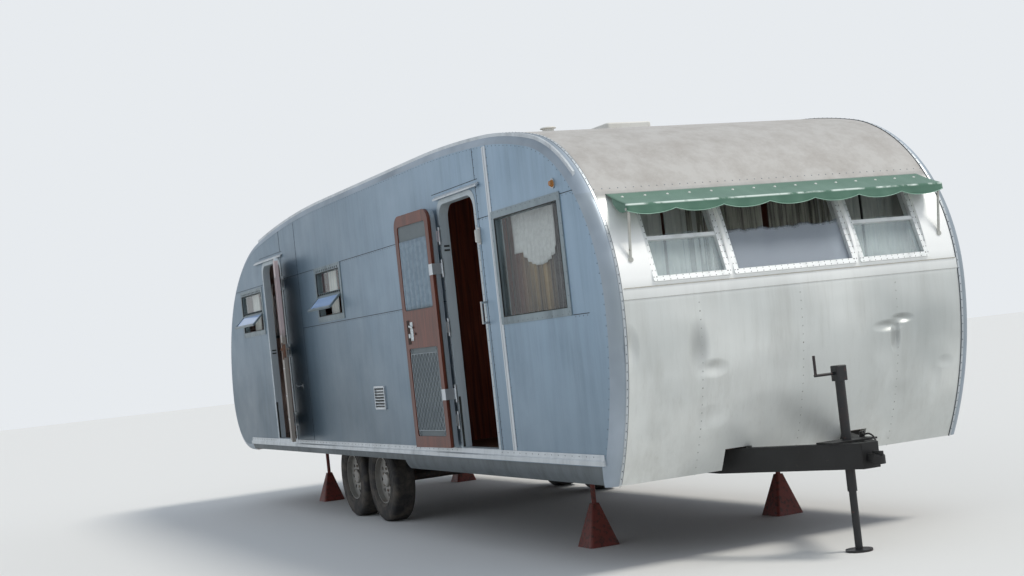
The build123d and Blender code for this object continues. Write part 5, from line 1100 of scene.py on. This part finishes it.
print(len(hung), "curtains hung")
speckled = woven("speckled_lace", tone(236, 238, 236), tone(220, 222, 220))
flowers = speckled.node("TexVoronoi", {"Vector": speckled.place, "Scale": 34.0}, feature="F1")
dotted = speckled.ramp(flowers.outputs["Distance"], 0.26, 0.36, 1, 0)
dotted = speckled.sum("MULTIPLY", dotted, speckled.ramp(speckled.part("Z"), 1.28, 1.36))
speckled.paint(dotted, tone(236, 238, 236), tone(60, 66, 66))

# %% [markdown]
# ## Screen door and rear door
# The screen door is a varnished frame with fly mesh in two openings. White lace hangs behind the
# upper one, an expanded metal grille guards the lower one, and a latch sits by a thin dark plate that
# is painted shade for a recess in the middle panel. Both leaves stand open, so pieces on them are
# placed along the leaf, up from its sill and in from its face, and ride on it.


# %% Places on an open leaf
def on_leaf(body, along, height, depth=0.0):
    """A place on an open leaf: along it from the hinge, up from its sill, in from its outer face."""
    hinge, way, inward = leaf_axes(body)
    return hinge + way * along + inward * (0.015 + depth) + Vector((0, 0, height))


def leaf_turn(body, tilt=0.0):
    """The turn that lays a shape on a leaf: X along it, Y up, Z in from its face."""
    _, way, inward = leaf_axes(body)
    up = Vector((0, 0, 1))
    laid = Matrix((way, up, inward if way.cross(up).dot(inward) > 0 else -inward)).transposed()
    return laid.to_4x4() @ Matrix.Rotation(tilt, 4, "Z")


def set_on(body, rows):
    """Blocks for a leaf, from rows of along, height, depth, size and, where one leans, its tilt."""
    return [(on_leaf(body, along, height, depth), leaf_turn(body, *tilt), size)
            for along, height, depth, size, *tilt in rows]


def blocks(name, rows, finish, body="caravan", edge=0.0):
    """Small blocks, each (place, turn, (length, width, thickness)), with their edges rounded over if an edge is
    given.
    """
    shape = bmesh.new()
    for place, turned, size in rows:
        bmesh.ops.create_cube(shape, size=1,
                              matrix=Matrix.Translation(place) @ turned @ Matrix.Diagonal((*size, 1)))
    if edge:
        round_over(shape, edge)
    return put(name, shape, finish, body, smooth=False)


for body, node_name, ends, low, high, depth, deep, folds in (
        ("screen_door", "screen_curtain", (0.070, 0.540), 0.972, 1.452, 0.0538, 0.0030, 6),
        ("rear_door", "rear_door_curtain", (0.108, 0.502), 0.960, 1.480, 0.0198, 0.0028, 8)):
    lace, rests = (shaded_screen_lace, "screen_frame") if body == "screen_door" else (speckled, "rear_door")
    start, end = (on_leaf(body, along, 0, depth) for along in ends)
    cloth_piece = folded(node_name + "_lace", start, end, SILL + high, SILL + low, deep, folds, lace,
                         leaf_axes(body)[2], 41, body=body, rests=rests)
    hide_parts(node_name)
print("door lace hung")

# %% Grille of the lower opening
GRILLE = (0.078, 0.532, 0.125, 0.660)
GRILLE_DEPTH = 0.0535
GRILLE_STEP = 0.052
GRILLE_LEAN = 1.35
grille_metal = painted("grille_metal", tone(148, 157, 162), tone(96, 103, 107), 0.4, 0.6, 0.4)
left, right, bottom, top = GRILLE
bars_laid, knots = [], []
for slope in (-1, 1):
    for order in range(-14, 26):
        start_at = left + order * GRILLE_STEP
        (a, low), (b, high) = [(start_at + slope * (height - bottom) / GRILLE_LEAN, height)
                               for height in (bottom, top)]
        cut = [max(0.0, min(1.0, (edge_at - a) / (b - a))) for edge_at in (left, right)]
        near, far = min(cut), max(cut)
        if far - near < 0.04:
            continue
        first = on_leaf("screen_door", a + (b - a) * near, low + (high - low) * near, GRILLE_DEPTH)
        last = on_leaf("screen_door", a + (b - a) * far, low + (high - low) * far, GRILLE_DEPTH)
        turned = leaf_turn("screen_door", math.atan2(high - low, b - a))
        bars_laid.append(((first + last) / 2, turned, ((last - first).length, 0.0032, 0.003)))
for row in range(1, 20):
    height = bottom + row * GRILLE_STEP * GRILLE_LEAN / 2
    for order in range(-1, 12):
        at = left + (order + (row % 2) / 2) * GRILLE_STEP
        if left < at < right and height < top:
            knots.append((on_leaf("screen_door", at, height, GRILLE_DEPTH + 0.002),
                          leaf_axes("screen_door")[2]))
across, up = (left + right) / 2, (bottom + top) / 2
bars_laid += set_on("screen_door", [(at, up, GRILLE_DEPTH, (0.005, top - bottom, 0.004))
                                    for at in (left, right)])
bars_laid += set_on("screen_door", [(across, at, GRILLE_DEPTH, (right - left, 0.005, 0.004))
                                    for at in (bottom, top)])
blocks("screen_grille", bars_laid, grille_metal, "screen_door")
repeated("grille_knots", rivet_head(0.0062, 6), knots, grille_metal, "screen_door")
print(len(bars_laid), "grille bars")


# %% Corner curls and latches
def curl(name, at, height, across, up):
    """A small scroll of wire in a corner of the opening."""
    places = []
    for step in range(15):
        turn = math.radians(step * 26)
        size = 0.021 - 0.0010 * step
        along = at + across * (0.024 - size * math.cos(turn))
        places.append(on_leaf("screen_door", along, height + up * size * math.sin(turn), GRILLE_DEPTH))
    rod(name, places, 0.0020, grille_metal, 6, "screen_door")


for across, at in ((1, 0.070), (-1, 0.540)):
    for up, height in ((1, 0.100), (-1, 0.686)):
        corner = f"{'low' if up > 0 else 'top'}_{'hinge' if across > 0 else 'free'}"
        curl(f"grille_curl_{corner}", at, height, across, up)
# Painted shade: a thin dark plate stands for the shade in the recess by the latch, and the dark knob shares
# this finish.
recess_shade_and_dark_knob = Finish("recess_shade_and_dark_knob", tone(34, 20, 16), 0.8)
recess_shade_and_dark_knob.paint(recess_shade_and_dark_knob.noise(30.0), tone(30, 18, 14), tone(58, 34, 26))
bright_latch = painted("bright_latch", tone(186, 194, 198), tone(96, 84, 74), 0.3, 0.55, 0.8)
recess = [(0.518, 0.815, 0.0582, (0.052, 0.170, 0.0022))]
latch = [
    (0.462, 0.820, 0.0600, (0.046, 0.132, 0.004)),
    (0.462, 0.852, 0.0660, (0.062, 0.014, 0.010), 0.2),
    (0.500, 0.790, 0.0620, (0.030, 0.030, 0.008)),
]
blocks("screen_latch_recess_shade", set_on("screen_door", recess), recess_shade_and_dark_knob, "screen_door")
blocks("screen_latch", set_on("screen_door", latch), bright_latch, "screen_door", 0.0018)
knob = [(on_leaf("screen_door", 0.402, 0.800, 0.059), leaf_axes("screen_door")[2])]
repeated("screen_latch_knob", rivet_head(0.011, 12), knob, recess_shade_and_dark_knob, "screen_door")
print("latch set")

# %% Inside of the rear door
battens = [(0.30, height, 0.0330, (0.50, 0.008, 0.004)) for height in (0.20, 0.41, 0.655)]
blocks("rear_door_battens", set_on("rear_door", battens), trim, "rear_door", 0.001)
rusty = painted("rusty_lock", tone(116, 78, 58), tone(54, 40, 34), 0.6, 0.5, 0.2)
lock = [
    (0.545, 0.810, 0.036, (0.070, 0.150, 0.010)),
    (0.530, 0.825, 0.045, (0.070, 0.016, 0.014), 0.15),
    (0.600, 0.810, 0.020, (0.002, 0.120, 0.020)),
]
blocks("rear_door_lock", set_on("rear_door", lock), rusty, "rear_door", 0.002)
print("rear door dressed")

# %% [markdown]
# ## Window and doorway details
# Old rubber has gone black between each frame and its glass. Screws hold the front frames along both
# edges, and the small side windows have a row of clips on their rails. They are set where a
# straight line from outside meets the frame, so they sit on it also where the front leans back.

# %% Gaskets and clips of the side windows
WINDOW_BAR = 0.030
gaskets, clips = [], []
for face, windows in SIDE_WINDOWS.items():
    for middle, sill, wide, high in windows:
        across, up, centre = wide - 2 * WINDOW_BAR, high - 2 * WINDOW_BAR, sill + high / 2
        for end in (-1, 1):
            gaskets.append((middle + end * (across / 2 + 0.003), face, centre, 0.006, up + 0.012))
            gaskets.append((middle, face, centre + end * (up / 2 + 0.003), across + 0.012, 0.006))
        if wide < 0.9:
            for height in (sill + high - 0.010, centre):
                clips += [(at, face, height, 0.011, 0.016)
                          for at in spaced(middle - across / 2, middle + across / 2, 0.052)]
gasket_rubber = Finish("gasket_rubber", tone(34, 36, 36), 0.85)
gasket_rubber.paint(gasket_rubber.noise(22.0), tone(30, 32, 32), tone(66, 68, 64))
bars("window_gaskets", gaskets, gasket_rubber, 0.0074)
bars("window_clips", clips, gasket_rubber, 0.0082)
print(len(gaskets), "gaskets,", len(clips), "clips")

# %% Screws of the front and rear frames
screws = []
for start, ahead, windows, low, high in (
        (Vector((1, 0, 0)), Vector((-1, 0, 0)), END_WINDOWS, 1.095, 1.565),
        (Vector((-11, 0, 0)), Vector((1, 0, 0)), END_WINDOWS, 1.200, 1.580)):
    for middle, wide in windows:
        edges = [(middle + end * (wide / 2 - inset), height) for end in (-1, 1) for inset in (0.005, 0.024)
                 for height in spaced(low, high, 0.036)]
        edges += [(across, height) for height in (low, low + 0.018)
                  for across in spaced(middle - wide / 2, middle + wide / 2, 0.042)]
        for across, height in edges:
            met = touch(start + Vector((0, across, height)), ahead, "window_frames")
            if met:
                screws.append(met)
repeated("frame_screws", rivet_head(0.0034, 6), screws, gasket_rubber)

# %% Strikes and worn notches of the doorways
STRIKE_HEIGHTS = (1.527, 1.00)
NOTCH_HEIGHT = 0.35
strikes = []
for (low, _), up in zip(DOORWAYS, STRIKE_HEIGHTS):
    at = low + 0.0006
    for step in (-0.014, 0.014):
        strikes.append((Vector((at, -1.188, up + step)), Matrix.Identity(4), (0.0026, 0.040, 0.013)))
    strikes.append((Vector((at, -1.2115, NOTCH_HEIGHT)), Matrix.Identity(4), (0.002, 0.016, 0.34)))
blocks("door_strikes", strikes, gasket_rubber, edge=0.0006)
print("strikes set")

# %% [markdown]
# ## Wheels
# Each tyre gets three ribs on its outer wall and four rows of low tread blocks, except where it stands
# on the ground, because rubber lies flat there.
# A rib is a small circle spun about the axle. Six nuts and a valve sit on the wheel disc. All of it
# rides on its wheel, so it turns with it.

# %% A ring about an axle
def spun_ring(shape, centre, bead, radius, sides, steps):
    """A round bead that goes about an axle along Y: a small circle, spun all the way round."""
    ring = bmesh.ops.create_circle(shape, segments=sides, radius=radius, matrix=Matrix.Translation(bead))
    edges = list({edge for corner in ring["verts"] for edge in corner.link_edges})
    bmesh.ops.spin(shape, geom=edges, cent=centre, axis=(0, 1, 0), angle=2 * math.pi, steps=steps,
                   use_merge=True)


# %% Tyre ribs, tread, nuts and valve
WHEEL_Z, WHEEL_OUT = -0.162, 0.95
WHEEL_PLACES = {"front": -5.220, "rear": -5.980}
TYRE_RADIUS, TYRE_WALL = 0.338, 0.089
TREAD_ROWS = (-0.051, -0.017, 0.017, 0.051)
TREAD_COUNT = 52
nut_metal = painted("nut_metal", tone(120, 112, 100), tone(84, 52, 38), 0.5, 0.5, 0.6)
for end, along in WHEEL_PLACES.items():
    for side, face in (("right", -1), ("left", 1)):
        body, centre = f"wheel_{end}_{side}", Vector((along, face * WHEEL_OUT, WHEEL_Z))
        ribs = bmesh.new()
        for radius, thick in ((0.303, 0.0026), (0.262, 0.0020), (0.222, 0.0030)):
            bead = centre + Vector((radius, face * (TYRE_WALL - 0.0004), 0))
            spun_ring(ribs, centre, bead, thick, 6, 56)
        bmesh.ops.recalc_face_normals(ribs, faces=ribs.faces)
        put(f"tyre_ribs_{end}_{side}", ribs, rubber, body)
        tread = []
        for order in range(TREAD_COUNT):
            for row, across in enumerate(TREAD_ROWS):
                turned = Matrix.Rotation(2 * math.pi * (order + 0.5 * (row % 2)) / TREAD_COUNT, 4, "Y")
                place = centre + turned @ Vector((0, 0, TYRE_RADIUS)) + Vector((0, across, 0))
                if place.z > GROUND + 0.012:
                    tread.append((place, turned, (0.030, 0.026, 0.0028)))
        blocks(f"tyre_tread_{end}_{side}", tread, rubber, body)
        nuts = []
        for order in range(6):
            spoke = Matrix.Rotation(math.pi * order / 3, 3, "Y") @ Vector((0, 0, 0.088))
            nuts.append((centre + spoke + Vector((0, face * 0.040, 0)), Vector((0, face, 0))))
        repeated(f"wheel_nuts_{end}_{side}", rivet_head(0.013, 6), nuts, nut_metal, body)
        stem = centre + Vector((0.104, face * 0.036, 0.118))
        bends = [stem, stem + Vector((0.004, face * 0.020, 0.004)), stem + Vector((0.005, face * 0.034, 0.005))]
        rod(f"tyre_valve_{end}_{side}", bends, 0.004, rubber, 8, body)
print("wheels dressed")

# %% [markdown]
# ## Lead on the drawbar
# A short black lead comes out of a clip on top of the left arm, arches over the arm's edge, hangs in
# a loop and goes back into a clip on the arm's outer face. It is one smooth NURBS curve, because that
# bends as rubber does, and each end has a tapered sleeve where it leaves its clip.

# %% Lead
LEAD_THICK = 0.010
LEAD_ROUTE = (
    (-0.3019, 0.1350, 0.1290),
    (-0.2496, 0.1099, 0.1290),
    (-0.1903, 0.0993, 0.1390),
    (-0.1357, 0.0931, 0.1170),
    (-0.1150, 0.0899, 0.0610),
    (-0.1349, 0.0994, 0.0050),
    (-0.1832, 0.1236, -0.0240),
    (-0.2355, 0.1486, -0.0240),
)
lead_curve = bpy.data.curves.new("drawbar_lead", "CURVE")
lead_curve.dimensions = "3D"
lead_line = lead_curve.splines.new("NURBS")
lead_line.points.add(len(LEAD_ROUTE) - 1)
for point, place in zip(lead_line.points, LEAD_ROUTE):
    point.co = (*place, 1)
lead_line.order_u = 3
lead_line.use_endpoint_u = True
lead_line.resolution_u = 12
lead_curve.bevel_depth = LEAD_THICK / 2
lead_curve.bevel_resolution = 4
lead_curve.use_fill_caps = True
lead_curve.materials.append(lead_rubber.material)
lead = bpy.data.objects.new("drawbar_lead", lead_curve)
bpy.context.scene.collection.objects.link(lead)
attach(lead, "caravan")
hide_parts("tongue_lead")
for name, start, after in (("top", LEAD_ROUTE[0], LEAD_ROUTE[1]), ("face", LEAD_ROUTE[-1], LEAD_ROUTE[-2])):
    start, way = Vector(start), (Vector(after) - Vector(start)).normalized()
    sleeve = bmesh.new()
    bmesh.ops.create_cone(sleeve, cap_ends=True, segments=16, radius1=0.0085, radius2=0.0056, depth=0.024,
                          matrix=set_at(start + way * 0.012, way))
    put(f"lead_sleeve_{name}", sleeve, lead_rubber)
print("lead laid")

# %% [markdown]
# ## Small fittings
# The wall vent has thin dark blocks between its louvres as painted shade, and the side lamps get a
# bright rim. The drip caps over the doors keep a line of sealer along their upper edge.

# %% Vent slot shade and lamp rims
VENT_ALONG, VENT_BOTTOM, VENT_WIDE = -4.48, 0.44, 0.200
SLOT_SIZE = (VENT_WIDE, 0.003, 0.0085)
leaning = Matrix.Rotation(0.35, 4, "X")
# Painted shade: thin dark blocks fill the gaps between the louvres.
slots = [(Vector((VENT_ALONG, -1.2322, VENT_BOTTOM + 0.024 + order * 0.022)), leaning, SLOT_SIZE)
         for order in range(7)]
blocks("vent_slot_shade", slots, gasket_rubber)
rims = bmesh.new()
lamp_low, lamp_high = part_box("marker_lamps")
for face in (-1, 1):
    centre = Vector(((lamp_low[0] + lamp_high[0]) / 2, face * (HALF + 0.0032),
                     (lamp_low[2] + lamp_high[2]) / 2))
    spun_ring(rims, centre, centre + Vector((0.0235, 0, 0)), 0.0028, 8, 32)
bmesh.ops.recalc_face_normals(rims, faces=rims.faces)
put("lamp_rims", rims, trim)
caps = [(sum(ends) / 2, -1, 1.9015, ends[1] - ends[0] + 0.20, 0.004) for ends in DOORWAYS]
bars("drip_cap_sealer", caps, sealer, 0.0014)
print("fittings dressed")

# %% Finish
low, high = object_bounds()
print("scene box", [round(v, 3) for v in low], [round(v, 3) for v in high])
